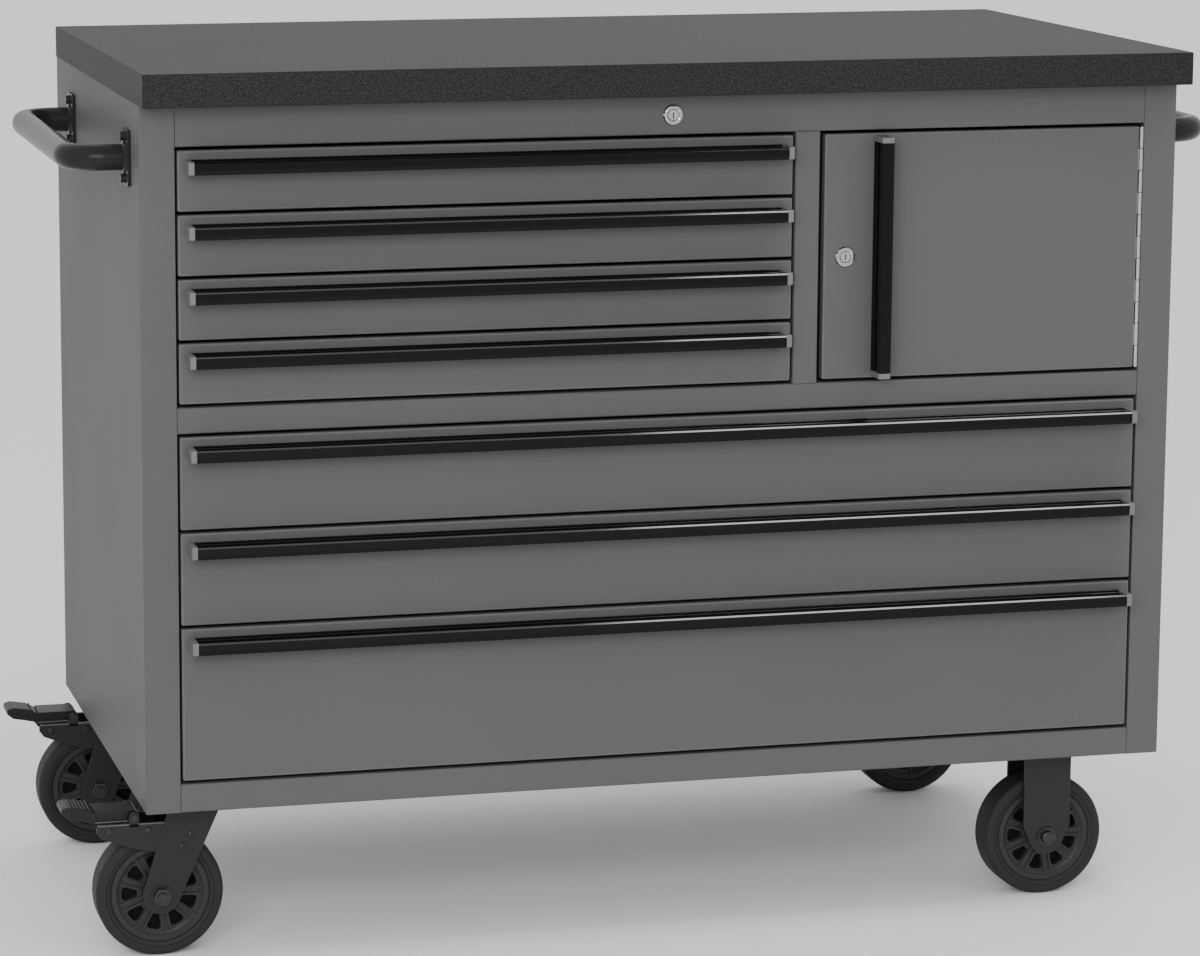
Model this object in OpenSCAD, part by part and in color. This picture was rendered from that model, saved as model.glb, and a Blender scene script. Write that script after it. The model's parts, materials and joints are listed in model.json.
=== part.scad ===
// Rolling tool chest: a sheet steel cabinet with seven drawers on ball-bearing slides,
// a locker with a piano-hinged door, a solid worktop, two push handles and four casters.
// +Z is up, the front faces -Y, and the origin is on the floor under the middle.

/* [Cabinet] */
// Width of the cabinet over its side panels
body_w = 1240; // [1000:10:1600]
// Depth of the cabinet from its front faces to its back panel
body_d = 640; // [600:5:760]
// Thickness of the cabinet's sheet steel
sheet = 1.5; // [1:0.1:2.5]
// Width of the front posts
post_w = 40; // [30:1:60]
// Height of the top rail, which holds the main lock
top_rail_h = 48; // [40:1:80]
// Height of the rail under the small drawers and the locker
mid_rail_h = 30; // [20:1:60]
// Height of the bottom rail
bottom_rail_h = 33; // [25:1:60]
// Depth of the rails' and panels' folded edges
fold_d = 25; // [15:1:30]
// Depth of the side panels' bottom folds, which clear the caster bolts
floor_fold = 16; // [10:1:18]
// Thickness of the base pan that the casters are bolted to
base_t = 2; // [1.5:0.5:4]
// Width of the seams between posts and rails
seam = 0.6; // [0.3:0.1:1.5]

/* [Worktop] */
// Thickness of the worktop board
top_t = 38; // [18:1:50]
// Overhang of the worktop in front
top_overhang = 42; // [10:1:60]
// Overhang of the worktop at each side
top_side_overhang = 2; // [0:1:20]
// How far the worktop stops short of the back
top_setback = 5; // [0:1:20]
// Radius of the worktop's upright corners
top_corner_r = 3; // [1:0.5:10]

/* [Drawers] */
// Height of the four small drawer fronts
small_front_h = 69; // [60:1:90]
// Height of the two medium drawer fronts
medium_front_h = 107; // [80:1:150]
// Height of the tall bottom drawer front
tall_front_h = 178; // [120:1:240]
// Gap above and below each front
front_gap = 4; // [2:0.5:6]
// Gap at each side of a drawer front
side_gap = 3; // [2:0.5:5]
// Depth of the folded fronts
front_d = 16; // [12:1:24]
// Sheet thickness of the drawer trays
tray_t = 1.2; // [0.8:0.1:2]
// Space behind the drawer trays, where the lock bar runs
tray_back_gap = 74; // [60:1:200]
// Height by which a tray is lower than its front, above and below
tray_drop = 6; // [4:1:12]

/* [Slides] */
// Height of the fixed slide members
slide_h = 45; // [35:1:46]
// Thickness of a slide from the wall to the tray
slide_t = 13; // [12.5:0.1:14]
// Sheet thickness of the slide members
slide_sheet = 1.4; // [1:0.1:1.6]

/* [Locker] */
// Width of the locker opening
locker_w = 401.5; // [300:0.5:450]
// Width of the post between drawers and locker
divider_w = 30; // [20:1:50]
// Gap at the free side of the door
door_gap = 6; // [3:0.5:8]
// Radius of the piano hinge's knuckles
knuckle_r = 2.5; // [2:0.1:3]
// Thickness of the piano hinge's leaves
leaf_t = 1; // [0.8:0.1:1.5]
// Radius of the hinge pin
pin_r = 1.25; // [0.8:0.05:1.4]
// Number of knuckles along the hinge, an odd number
knuckles = 11; // [7:2:15]

/* [Pull handles] */
// How far a pull handle stands out from its front
grip_d = 30; // [24:1:40]
// Height of a pull handle's front lip
grip_h = 15; // [12:1:20]
// Thickness of a pull handle's web and wall flange
grip_t = 3; // [2:0.5:4]
// Thickness of a pull handle's front lip
grip_lip_t = 5.5; // [4:0.5:7]
// Distance from the top edge of a front to its handle
grip_drop = 10; // [8:1:16]
// Distance from the ends of a front to the ends of its handle
grip_margin = 8; // [5:1:20]
// Width of the end caps
cap_w = 6.5; // [4:0.5:10]
// Distance from the door's free edge to its handle
door_grip_inset = 59.5; // [50:0.5:80]
// Gap from the top and bottom of the door to its handle
door_grip_margin = 2.5; // [2:0.5:20]

/* [Push handles] */
// Outer diameter of the push handle tube
push_d = 30; // [24:1:36]
// Wall thickness of the push handle tube
push_wall = 2; // [1.5:0.5:3]
// Distance from the side panel to the middle of the tube
push_reach = 65; // [58:1:90]
// Bend radius of the tube's centre line
push_bend_r = 38; // [34:1:50]
// Distance from the cabinet's front to the front foot
push_front = 78; // [60:1:110]
// Distance from the cabinet's back to the rear foot
push_back = 137; // [60:1:180]
// Depth of the tube's centre below the worktop's underside
push_drop = 66; // [50:1:90]
// Height of a foot plate
foot_h = 64; // [56:1:80]
// Distance between the two bolts of a foot plate
foot_bolt_gap = 48; // [42:1:60]

/* [Locks] */
// Radius of a lock's chrome collar
collar_r = 12; // [10:0.5:14]
// Radius of the turning plug
plug_r = 6; // [5:0.25:7]
// Distance from the door's free edge to its lock
door_lock_inset = 26; // [22:1:40]
// Radius of the crank on the main lock's tail rod
crank_r = 12; // [9:1:14]

/* [Casters] */
// Wheel diameter
wheel_d = 150; // [125:1:160]
// Tread width of the wheels
wheel_w = 42; // [34:1:50]
// Height from the top of a wheel to the top of its caster's plate
caster_rise = 37; // [34:1:60]
// Horizontal distance from a swivel caster's kingpin to its axle
trail = 45; // [35:1:55]
// Distance from the side to the swivel casters' kingpins
swivel_inset = 70; // [60:1:90]
// Distance from the side to the fixed casters' axles
fixed_inset = 120; // [70:1:160]
// Distance from the front and back to the casters
caster_inset = 80; // [60:1:120]
// Thickness of the tyres
tyre_t = 17; // [12:1:22]
// Radius of the axle bolts
axle_r = 6; // [5:0.5:8]
// Thickness of the fork legs
leg_t = 4; // [3:0.5:5]

/* [Hidden] */
$fn = 64;
e = 0.01;
running_gap = 0.08;
bearing_gap = 0.3;

half_w = body_w / 2;
front_y = (top_overhang - body_d) / 2;
back_y = front_y + body_d;
tray_d = body_d - front_d - tray_back_gap;
slide_len = tray_d - 10;
push_span = body_d - push_front - push_back;
open_x = half_w - post_w;
divider_x1 = open_x - locker_w;
divider_x0 = divider_x1 - divider_w;

caster_h = wheel_d + caster_rise;
small_count = 4;
body_z0 = caster_h;
lower_z0 = body_z0 + bottom_rail_h;
lower_h = 2 * medium_front_h + tall_front_h + 4 * front_gap;
lower_z1 = lower_z0 + lower_h;
upper_z0 = lower_z1 + mid_rail_h;
upper_h = small_count * small_front_h + (small_count + 1) * front_gap;
upper_z1 = upper_z0 + upper_h;
body_z1 = upper_z1 + top_rail_h;

function is_small(i) = i <= small_count;
function front_h(i) = is_small(i) ? small_front_h : (i < 7 ? medium_front_h : tall_front_h);
function front_top(i) = is_small(i)
    ? upper_z1 - front_gap - (i - 1) * (small_front_h + front_gap)
    : lower_z1 - front_gap - (i - small_count - 1) * (medium_front_h + front_gap);
function front_bottom(i) = front_top(i) - front_h(i);
function bay_x1(i) = is_small(i) ? divider_x0 : open_x;
function slide_z(i) = (front_top(i) + front_bottom(i)) / 2;

door_x0 = divider_x1 + door_gap;
hinge_gap = 2 * knuckle_r + leaf_t;
door_x1 = open_x - hinge_gap;
door_z0 = upper_z0 + front_gap;
door_z1 = upper_z1 - front_gap;
hinge_x = open_x - hinge_gap / 2;
hinge_y = front_y + sheet;

main_lock_z = body_z1 - top_rail_h / 2 - 1;
door_lock_x = door_x0 + door_lock_inset;
door_lock_z = (door_z0 + door_z1) / 2;
plug_front = 1.5;
rod_end_y = back_y - 38;

wheel_r = wheel_d / 2;
core_r = wheel_r - tyre_t;
leg_in = wheel_w / 2 + 5;
leg_out = leg_in + leg_t;
plate_t = 4;
race_h = 7;
crown_z1 = caster_h - plate_t - race_h - bearing_gap;
crown_z0 = crown_z1 - leg_t;
swivel_x = -half_w + swivel_inset;
fixed_x = half_w - fixed_inset;
caster_ys = [front_y + caster_inset, back_y - caster_inset];
plate_bolt_x = 40;
plate_bolt_y = 30;
pedal_x = -trail - 31;
pedal_z = caster_h - 17;

body_grey = [0.36, 0.37, 0.38];
board_grey = [0.2, 0.2, 0.21];
steel = [0.62, 0.63, 0.65];
black = [0.05, 0.05, 0.055];
cap_grey = [0.45, 0.46, 0.47];
core_grey = [0.17, 0.17, 0.18];
tyre_grey = [0.12, 0.12, 0.125];

// A block given by its lowest and highest corners
module block(low, high) {
    translate(low) cube(high - low);
}

// A cylinder along Y from y0 to y1
module bar_y(r, y0, y1) {
    translate([0, y1, 0]) rotate([90, 0, 0]) cylinder(r = r, h = y1 - y0);
}

// A hexagonal head or nut along Y, across_flats wide
module hex_y(across_flats, y0, y1) {
    translate([0, y1, 0]) rotate([90, 0, 0])
        cylinder(d = across_flats / cos(30), h = y1 - y0, $fn = 6);
}

// ---- Worktop and cabinet ----

module worktop() {
    w = body_w + 2 * top_side_overhang;
    d = body_d + top_overhang - top_setback;
    color(board_grey) translate([-w / 2, front_y - top_overhang, body_z1])
        linear_extrude(top_t) rounded_rect(w, d, top_corner_r);
}

// A rectangle with round corners, its low corner at the origin
module rounded_rect(w, d, r) {
    translate([r, 0]) square([w - 2 * r, d]);
    translate([0, r]) square([w, d - 2 * r]);
    for (x = [r, w - r], y = [r, d - r])
        translate([x, y]) circle(r);
}

// The left side panel with its front post and folded edges, drilled for the push handle
module side_panel() {
    difference() {
        union() {
            block([-half_w, front_y, body_z0], [-half_w + sheet, back_y, body_z1]);
            block([-half_w, front_y, body_z0], [-open_x, front_y + sheet, body_z1]);
            block([-half_w, front_y, body_z1 - sheet],
                  [-half_w + fold_d, back_y - sheet, body_z1]);
            block([-half_w, front_y, body_z0 + base_t],
                  [-half_w + floor_fold, back_y - sheet, body_z0 + base_t + sheet]);
            block([-half_w, back_y - 2 * sheet, body_z0 + base_t],
                  [-half_w + fold_d, back_y - sheet, body_z1]);
        }
        push_bolt_places() translate([-sheet, 0, 0]) rotate([0, 90, 0])
            cylinder(r = foot_hole_r, h = 3 * sheet);
    }
}

module side_panel_left() {
    color(body_grey) side_panel();
}

module side_panel_right() {
    color(body_grey) mirror([1, 0, 0]) side_panel();
}

// The inner walls that carry the drawer slides
module slide_walls() {
    color(body_grey) for (m = [0, 1]) mirror([m, 0, 0])
        block([open_x, front_y + sheet, body_z0 + base_t],
              [open_x + sheet, back_y - sheet, body_z1 - sheet]);
}

// The post between drawers and locker, with its two walls running to the back
module partition() {
    color(body_grey) {
        block([divider_x0, front_y, upper_z0], [divider_x1, front_y + sheet, upper_z1]);
        for (x = [divider_x0, divider_x1 - sheet]) {
            block([x, front_y, upper_z0], [x + sheet, back_y - sheet, upper_z1]);
            block([x, front_y + fold_d, upper_z1 - e],
                  [x + sheet, back_y - sheet, body_z1 - sheet]);
        }
    }
}

module back_panel() {
    color(body_grey) {
        block([-half_w + sheet, back_y - sheet, body_z0],
              [half_w - sheet, back_y, body_z1]);
        block([-open_x, back_y - fold_d, body_z1 - sheet],
              [open_x, back_y - sheet + e, body_z1]);
        for (i = [1, 4, 6]) lock_bar_guide((slide_z(i) + slide_z(i + 1)) / 2 - guide_h / 2);
    }
}

// A bent strap that keeps the lock bar against the back panel
module lock_bar_guide(z) {
    y0 = bar_y0 - 1 - sheet;
    for (x = [bar_x0 - 1 - sheet, bar_x1 + 1])
        block([x, y0, z], [x + sheet, back_y - sheet + e, z + guide_h]);
    block([bar_x0 - 1 - sheet, y0, z], [bar_x1 + 1 + sheet, y0 + sheet, z + guide_h]);
}

module base_pan() {
    color(body_grey) difference() {
        block([-half_w + sheet, front_y + sheet, body_z0],
              [half_w - sheet, back_y - sheet, body_z0 + base_t]);
        caster_bolt_places() translate([0, 0, -1]) cylinder(r = 4.5, h = base_t + 2);
    }
}

// A rail across the front: a face with a folded edge above and below
module rail(z0, z1, low_fold_z) {
    block([-open_x + seam, front_y, z0], [open_x - seam, front_y + sheet, z1]);
    for (z = [low_fold_z, z1 - sheet])
        block([-open_x, front_y + sheet - e, z], [open_x, front_y + fold_d, z + sheet]);
}

module top_rail() {
    color(body_grey) difference() {
        rail(upper_z1, body_z1, upper_z1);
        translate([0, 0, main_lock_z]) bar_y(collar_r - 3, front_y - 1, front_y + sheet + 1);
    }
}

module mid_rail() {
    color(body_grey) rail(lower_z1, upper_z0, lower_z1);
}

module bottom_rail() {
    color(body_grey) rail(body_z0, lower_z0, body_z0 + base_t);
}

module locker_floor() {
    color(body_grey) block([divider_x0, front_y + fold_d, upper_z0 - sheet],
                           [open_x, back_y - sheet, upper_z0]);
}

// ---- Drawers ----

slide_y0 = front_y + front_d + 4;
mid_h = slide_h - 2 * slide_sheet - 4;
inner_h = mid_h - 2 * slide_sheet - 5;

// A channel of height h whose web stands at s0, with edges reaching from s0 to s1
module channel(h, s0, s1, web_s) {
    for (z = [-h / 2, h / 2 - slide_sheet])
        block([s0, slide_y0, z], [s1, slide_y0 + slide_len, z + slide_sheet]);
    block([web_s, slide_y0, -h / 2], [web_s + slide_sheet, slide_y0 + slide_len, h / 2]);
}

// Runs its children at both sides of bay i, measured inwards from the wall
module both_sides(i) {
    translate([-open_x, 0, slide_z(i)]) children();
    translate([bay_x1(i), 0, slide_z(i)]) mirror([1, 0, 0]) children();
}

module cabinet_slide_members() {
    color(steel) for (i = [1:7]) both_sides(i) channel(slide_h, 0, 9, 0);
}

module drawer_slide_mid(i) {
    color(steel) both_sides(i) channel(mid_h, 5, 11, 5);
}

module drawer_box(i) {
    x0 = -open_x + side_gap;
    x1 = bay_x1(i) - side_gap;
    z0 = front_bottom(i);
    z1 = front_top(i);
    tx0 = -open_x + slide_t;
    tx1 = bay_x1(i) - slide_t;
    tz0 = z0 + tray_drop;
    tz1 = z1 - tray_drop;
    ty0 = front_y + front_d;
    ty1 = ty0 + tray_d;
    color(body_grey) {
        difference() {
            block([x0, front_y, z0], [x1, ty0, z1]);
            block([x0 + sheet, front_y + sheet, z0 + sheet],
                  [x1 - sheet, ty0 - sheet, z1 - sheet]);
        }
        difference() {
            block([tx0, ty0 - e, tz0], [tx1, ty1, tz1]);
            block([tx0 + tray_t, ty0 - 1, tz0 + tray_t], [tx1 - tray_t, ty1 - tray_t, tz1 + 1]);
        }
    }
    color(steel) both_sides(i)
        channel(inner_h, slide_t - 5.6, slide_t, slide_t - slide_sheet);
}

// Outline of a pull handle: across is forward from the front's face, up is upwards
module grip_outline() {
    gutter = 3;
    lip_top = -0.8;
    round_r = grip_lip_t / 2 - 0.25;
    translate([0, -grip_h + 1]) square([grip_t, grip_h - 1]);
    translate([0, -gutter - grip_t]) square([grip_d - 1, grip_t]);
    difference() {
        translate([grip_d - grip_lip_t, -grip_h]) square([grip_lip_t, grip_h + lip_top]);
        translate([grip_d - round_r, lip_top - round_r]) square(round_r + 1);
    }
    translate([grip_d - round_r, lip_top - round_r]) circle(round_r);
}

// A pull handle of length len along X from x = 0, standing out towards -Y below z = 0
module grip(len) {
    color(black) translate([cap_w, 0, 0]) rotate([90, 0, -90]) mirror([0, 0, 1])
        linear_extrude(len - 2 * cap_w) grip_outline();
    color(cap_grey) for (x = [0, len - cap_w]) translate([x, 0, 0])
        rotate([90, 0, -90]) mirror([0, 0, 1]) linear_extrude(cap_w) grip_outline();
}

module drawer_handle(i) {
    x0 = -open_x + side_gap + grip_margin;
    len = bay_x1(i) - side_gap - grip_margin - x0;
    translate([x0, front_y, front_top(i) - grip_drop]) grip(len);
}

// ---- Locker door ----

module door_panel() {
    color(body_grey) difference() {
        block([door_x0, front_y, door_z0], [door_x1, front_y + front_d, door_z1]);
        block([door_x0 + sheet, front_y + sheet, door_z0 + sheet],
              [door_x1 - sheet, front_y + front_d - sheet, door_z1 - sheet]);
        translate([door_lock_x, 0, door_lock_z])
            bar_y(collar_r - 3, front_y - 1, front_y + front_d + 1);
    }
}

module door_handle() {
    len = door_z1 - door_z0 - 2 * door_grip_margin;
    translate([door_x0 + door_grip_inset, front_y, door_z0 + door_grip_margin])
        rotate([0, -90, 0]) grip(len);
}

knuckle_pitch = (door_z1 - door_z0) / knuckles;

knuckle_gap = 0.3;

// A hinge leaf from x0 to x0 + leaf_t, its tongues curled into every second knuckle
module leaf(x0, first, y_end) {
    y0 = hinge_y + knuckle_r + bearing_gap;
    knuckle_h = knuckle_pitch - knuckle_gap;
    block([x0, y0, door_z0], [x0 + leaf_t, y_end, door_z1]);
    for (k = [first:2:knuckles - 1])
        translate([0, 0, door_z0 + k * knuckle_pitch + knuckle_gap / 2]) {
            block([x0, hinge_y, 0], [x0 + leaf_t, y0 + e, knuckle_h]);
            translate([hinge_x, hinge_y, 0]) cylinder(r = knuckle_r, h = knuckle_h);
        }
}

module hinge_frame_leaf() {
    color(steel) {
        leaf(open_x - leaf_t, 0, front_y + fold_d - 3);
        translate([hinge_x, hinge_y, door_z0]) cylinder(r = pin_r, h = door_z1 - door_z0);
    }
}

module hinge_door_leaf() {
    color(steel) difference() {
        leaf(door_x1, 1, front_y + front_d);
        translate([hinge_x, hinge_y, door_z0 - 1])
            cylinder(r = pin_r + running_gap, h = door_z1 - door_z0 + 2);
    }
}

// ---- Locks ----

// A chrome collar and barrel along Y, its face at face_y, with a bore for the plug
module lock_housing(face_y, barrel_end) {
    color(steel) difference() {
        union() {
            bar_y(collar_r, face_y - 2.5, face_y);
            bar_y(collar_r - 3.2, face_y - 1, barrel_end);
        }
        bar_y(plug_r + running_gap, face_y - 4, barrel_end + 1);
    }
}

// The turning plug with its keyway
module lock_plug(face_y, plug_end) {
    difference() {
        bar_y(plug_r, face_y - plug_front, plug_end);
        block([-0.8, face_y - plug_front - 1, -3.5], [0.8, face_y + 12, 3.5]);
    }
}

module main_lock_housing() {
    translate([0, 0, main_lock_z]) lock_housing(front_y, front_y + 22);
}

// The plug of the main lock with its tail rod and the crank that moves the lock bar
module main_lock_cylinder() {
    color(steel) translate([0, 0, main_lock_z]) {
        lock_plug(front_y, front_y + 24);
        bar_y(3, front_y + 23, rod_end_y);
        rotate([0, 45, 0]) {
            translate([crank_r, 0, 0]) bar_y(2.5, rod_end_y - 4, bar_y0 + bar_t + 1);
            block([0, rod_end_y - 4, -4], [crank_r, rod_end_y, 4]);
            translate([crank_r, 0, 0]) bar_y(4, rod_end_y - 4, rod_end_y);
            bar_y(5.5, rod_end_y - 4, rod_end_y);
        }
    }
}

bar_t = 3;
guide_h = 20;
bar_y0 = rod_end_y + 1;
bar_x0 = -2;
bar_x1 = crank_r + 8;
bar_play = 0.6;
crank_z = crank_r * sin(45);

// The upright bar behind the drawers, with a catch behind each drawer and a slot for the crank
module lock_bar() {
    slot_z = main_lock_z - crank_z;
    slot_x0 = crank_r * cos(45) - 2.5 - bar_play;
    slot_x1 = crank_r + 2.5 + bar_play;
    color(steel) {
        difference() {
            block([bar_x0, bar_y0, lower_z0 + 10], [bar_x1, bar_y0 + bar_t, slot_z + 10]);
            block([slot_x0, bar_y0 - 1, slot_z - 2.5 - bar_play],
                  [slot_x1, bar_y0 + bar_t + 1, slot_z + 2.5 + bar_play]);
        }
        for (i = [1:7])
            block([bar_x0, bar_y0 - 8, slide_z(i) - 8], [bar_x1, bar_y0 + e, slide_z(i) - 5]);
    }
}

module door_lock_housing() {
    translate([door_lock_x, 0, door_lock_z]) lock_housing(front_y, front_y + front_d + 3);
}

// The door lock's plug with its cam, which points down when unlocked
module door_lock_cylinder() {
    cam_len = door_lock_inset - 7;
    end_y = front_y + front_d + 4;
    color(steel) translate([door_lock_x, 0, door_lock_z]) {
        lock_plug(front_y, end_y + 2.5);
        block([-5, end_y, -cam_len], [5, end_y + 2, 0]);
        bar_y(7.5, end_y, end_y + 2);
    }
}

// ---- Push handles ----

push_z = body_z1 - push_drop;
push_ys = [front_y + push_front, front_y + push_front + push_span];
foot_t = 4;
foot_w = 42;
foot_hole_r = 3.3;

// Runs its children at each foot bolt of the left push handle
module push_bolt_places() {
    for (y = push_ys, z = [-1, 1])
        translate([-half_w, y, push_z + z * foot_bolt_gap / 2]) children();
}

// A quarter bend of tube about the origin, starting along X at y = -push_bend_r
module tube_bend() {
    rotate_extrude(angle = 90) translate([push_bend_r, 0]) difference() {
        circle(d = push_d);
        circle(d = push_d - 2 * push_wall);
    }
}

module tube(len) {
    difference() {
        cylinder(d = push_d, h = len);
        translate([0, 0, -1]) cylinder(d = push_d - 2 * push_wall, h = len + 2);
    }
}

module push_handle() {
    leg = push_reach - push_bend_r - foot_t;
    x_leg = -half_w - foot_t;
    x_mid = -half_w - push_reach;
    difference() {
        for (y = push_ys)
            block([x_leg, y - foot_w / 2, push_z - foot_h / 2],
                  [-half_w, y + foot_w / 2, push_z + foot_h / 2]);
        push_bolt_places() translate([-foot_t - 1, 0, 0]) rotate([0, 90, 0])
            cylinder(r = foot_hole_r, h = foot_t + 2);
    }
    for (y = push_ys)
        translate([x_leg - leg, y, push_z]) rotate([0, 90, 0]) tube(leg);
    translate([x_leg - leg, push_ys[0] + push_bend_r, push_z])
        rotate([0, 0, 180]) tube_bend();
    translate([x_leg - leg, push_ys[1] - push_bend_r, push_z])
        rotate([0, 0, 90]) tube_bend();
    translate([x_mid, push_ys[0] + push_bend_r, push_z]) rotate([-90, 0, 0])
        tube(push_span - 2 * push_bend_r);
}

module push_handle_left() {
    color(black) push_handle();
}

module push_handle_right() {
    color(black) mirror([1, 0, 0]) push_handle();
}

// A hexagon bolt along X from outside at x = 0, with its washer and its nut inside
module foot_bolt() {
    rotate([0, 90, 0]) {
        translate([0, 0, -foot_t - 1.5]) cylinder(r = 6.2, h = 1.5);
        translate([0, 0, -foot_t - 5.5]) cylinder(d = 10 / cos(30), h = 4.1, $fn = 6);
        translate([0, 0, -foot_t - 5]) cylinder(r = 3, h = foot_t + sheet + 12);
        translate([0, 0, sheet]) cylinder(d = 10 / cos(30), h = 5, $fn = 6);
    }
}

module push_handle_bolts() {
    color(black) for (m = [0, 1]) mirror([m, 0, 0]) push_bolt_places() foot_bolt();
}

// ---- Casters ----

// Runs its children at each of the 16 caster bolts, at the underside of the base pan
module caster_bolt_places() {
    for (cx = [swivel_x, fixed_x], cy = caster_ys, sx = [-1, 1], sy = [-1, 1])
        translate([cx + sx * plate_bolt_x, cy + sy * plate_bolt_y, body_z0]) children();
}

module caster_bolts() {
    color(steel) caster_bolt_places() {
        translate([0, 0, -plate_t - 5.3]) cylinder(d = 13 / cos(30), h = 5.3, $fn = 6);
        translate([0, 0, -plate_t - 1]) cylinder(r = 4, h = plate_t + base_t + 10);
        translate([0, 0, base_t]) cylinder(d = 13 / cos(30), h = 6.5, $fn = 6);
    }
}

// A drilled top plate centred on the origin, its top at z = caster_h
module top_plate() {
    difference() {
        translate([-plate_bolt_x - 12, -plate_bolt_y - 12, caster_h - plate_t])
            linear_extrude(plate_t)
            rounded_rect(2 * plate_bolt_x + 24, 2 * plate_bolt_y + 24, 6);
        for (sx = [-1, 1], sy = [-1, 1])
            translate([sx * plate_bolt_x, sy * plate_bolt_y, caster_h - plate_t - 1])
                cylinder(r = 4.5, h = plate_t + 2);
    }
}

module swivel_plates() {
    color(black) for (cy = caster_ys) translate([swivel_x, cy, 0]) {
        top_plate();
        translate([0, 0, crown_z1 + bearing_gap]) cylinder(r = 30, h = race_h + e);
        translate([0, 0, crown_z0 - 8]) cylinder(r = 5, h = 12 + race_h);
        translate([0, 0, crown_z0 - 8]) cylinder(r = 9, h = 8 - bearing_gap);
    }
}

// The point where a line from p touches the circle of radius r about c, on the side given
function touch(p, c, r, side) =
    let (d = p - c, a = atan2(d[1], d[0]) + side * acos(r / norm(d)))
    c + r * [cos(a), sin(a)];

// Outline in X and Z of a fork leg from its top edge to the round end at the axle
module leg_outline(axle, top_x0, top_x1, top_z, end_r) {
    p0 = [top_x0, top_z];
    p1 = [top_x1, top_z];
    difference() {
        union() {
            translate(axle) circle(end_r);
            polygon([p0, p1, touch(p1, axle, end_r, -1), axle, touch(p0, axle, end_r, 1)]);
        }
        translate(axle) circle(axle_r + 0.25);
    }
}

// Plates of the given outline at both sides of the wheel, from y = in to y = out
module both_legs(in, out) {
    for (m = [0, 1]) mirror([0, m, 0])
        translate([0, out, 0]) rotate([90, 0, 0]) linear_extrude(out - in) children();
}

// Runs its children on the rear side of the wheel and mirrored on the front side
module both_ends() {
    for (m = [0, 1]) mirror([0, m, 0]) children();
}

// An axle bolt along Y at the origin with head, nut and washers outside the legs
module axle_bolt() {
    bar_y(axle_r, -leg_out - 12, leg_out + 5);
    for (y = [-leg_out - 2, leg_out]) bar_y(axle_r + 6, y, y + 2);
    hex_y(19, -leg_out - 10, -leg_out - 2);
    hex_y(19, leg_out + 2, leg_out + 9);
}

// A swivel caster's fork with its crown, brake housing and axle bolt, about its kingpin
module swivel_fork(cy) {
    housing_x0 = -trail - wheel_r;
    housing_z1 = crown_z0 - 9;
    translate([swivel_x, cy, 0]) {
        color(black) {
            both_legs(leg_in, leg_out)
                leg_outline([-trail, wheel_r], -36, 24, crown_z0 + 1, 22);
            difference() {
                union() {
                    block([-36, -leg_out, crown_z0], [24, leg_out, crown_z1]);
                    translate([0, 0, crown_z0]) cylinder(r = 31, h = leg_t);
                }
                translate([0, 0, crown_z0 - 1]) cylinder(r = 5 + running_gap, h = leg_t + 2);
            }
            both_legs(leg_in, leg_in + 2.5) polygon([
                [housing_x0, housing_z1], [-34, housing_z1], [-46, housing_z1 - 36],
                [-80, housing_z1 - 29], [housing_x0 + 6, housing_z1 - 16],
                [housing_x0, housing_z1 - 8]
            ]);
            for (x = [-105, -60]) translate([x, 0, housing_z1 - 8])
                both_ends() bar_y(4, leg_in, leg_in + 4.5);
            translate([pedal_x, 0, pedal_z]) bar_y(2.5, -leg_in - 1, leg_in + 1);
            both_legs(leg_in, leg_in + 2.5) translate([pedal_x, pedal_z]) {
                circle(6);
                translate([-6, housing_z1 - pedal_z - 4]) square([12, pedal_z - housing_z1 + 4]);
            }
        }
        color(steel) translate([-trail, 0, wheel_r]) axle_bolt();
    }
}

// A brake pedal: a bored arm in the housing, a brake shoe below and a curved pad outside
module brake_pedal(cy) {
    arm_w = 20;
    pad_end = -swivel_inset - 90;
    color(black) translate([swivel_x, cy, 0]) {
        difference() {
            union() {
                block([pedal_x - 44, -arm_w, pedal_z - 7], [pedal_x, arm_w, pedal_z + 7]);
                translate([pedal_x, 0, pedal_z]) bar_y(7, -arm_w, arm_w);
                block([pedal_x - 6, -arm_w + 6, pedal_z - 21], [pedal_x + 6, arm_w - 6, pedal_z]);
                translate([0, arm_w, 0]) rotate([90, 0, 0]) linear_extrude(2 * arm_w)
                    polygon([
                        [pedal_x - 42, pedal_z - 7], [pedal_x - 42, pedal_z + 5],
                        [pad_end + 28, pedal_z + 12], [pad_end + 10, pedal_z + 15],
                        [pad_end + 2, pedal_z + 14], [pad_end, pedal_z + 7],
                        [pad_end + 8, pedal_z], [pad_end + 24, pedal_z - 3]
                    ]);
            }
            translate([pedal_x, 0, pedal_z]) bar_y(2.5 + running_gap, -arm_w - 1, arm_w + 1);
        }
    }
}

module fixed_forks() {
    color(black) for (cy = caster_ys) translate([fixed_x, cy, 0]) {
        top_plate();
        both_legs(leg_in, leg_out) difference() {
            union() {
                translate([-30, wheel_r + 14]) square([60, caster_h - plate_t - wheel_r - 14 + e]);
                polygon([
                    [-30, wheel_r + 14 + e], [30, wheel_r + 14 + e],
                    touch([30, wheel_r + 14], [0, wheel_r], 22, -1), [0, wheel_r],
                    touch([-30, wheel_r + 14], [0, wheel_r], 22, 1)
                ]);
                translate([0, wheel_r]) circle(22);
            }
            translate([0, wheel_r]) circle(axle_r + 0.25);
        }
    }
    color(steel) for (cy = caster_ys) translate([fixed_x, cy, wheel_r]) axle_bolt();
}

spokes = 9;
hub_r = 17;
rim_in = core_r - 9;

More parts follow.
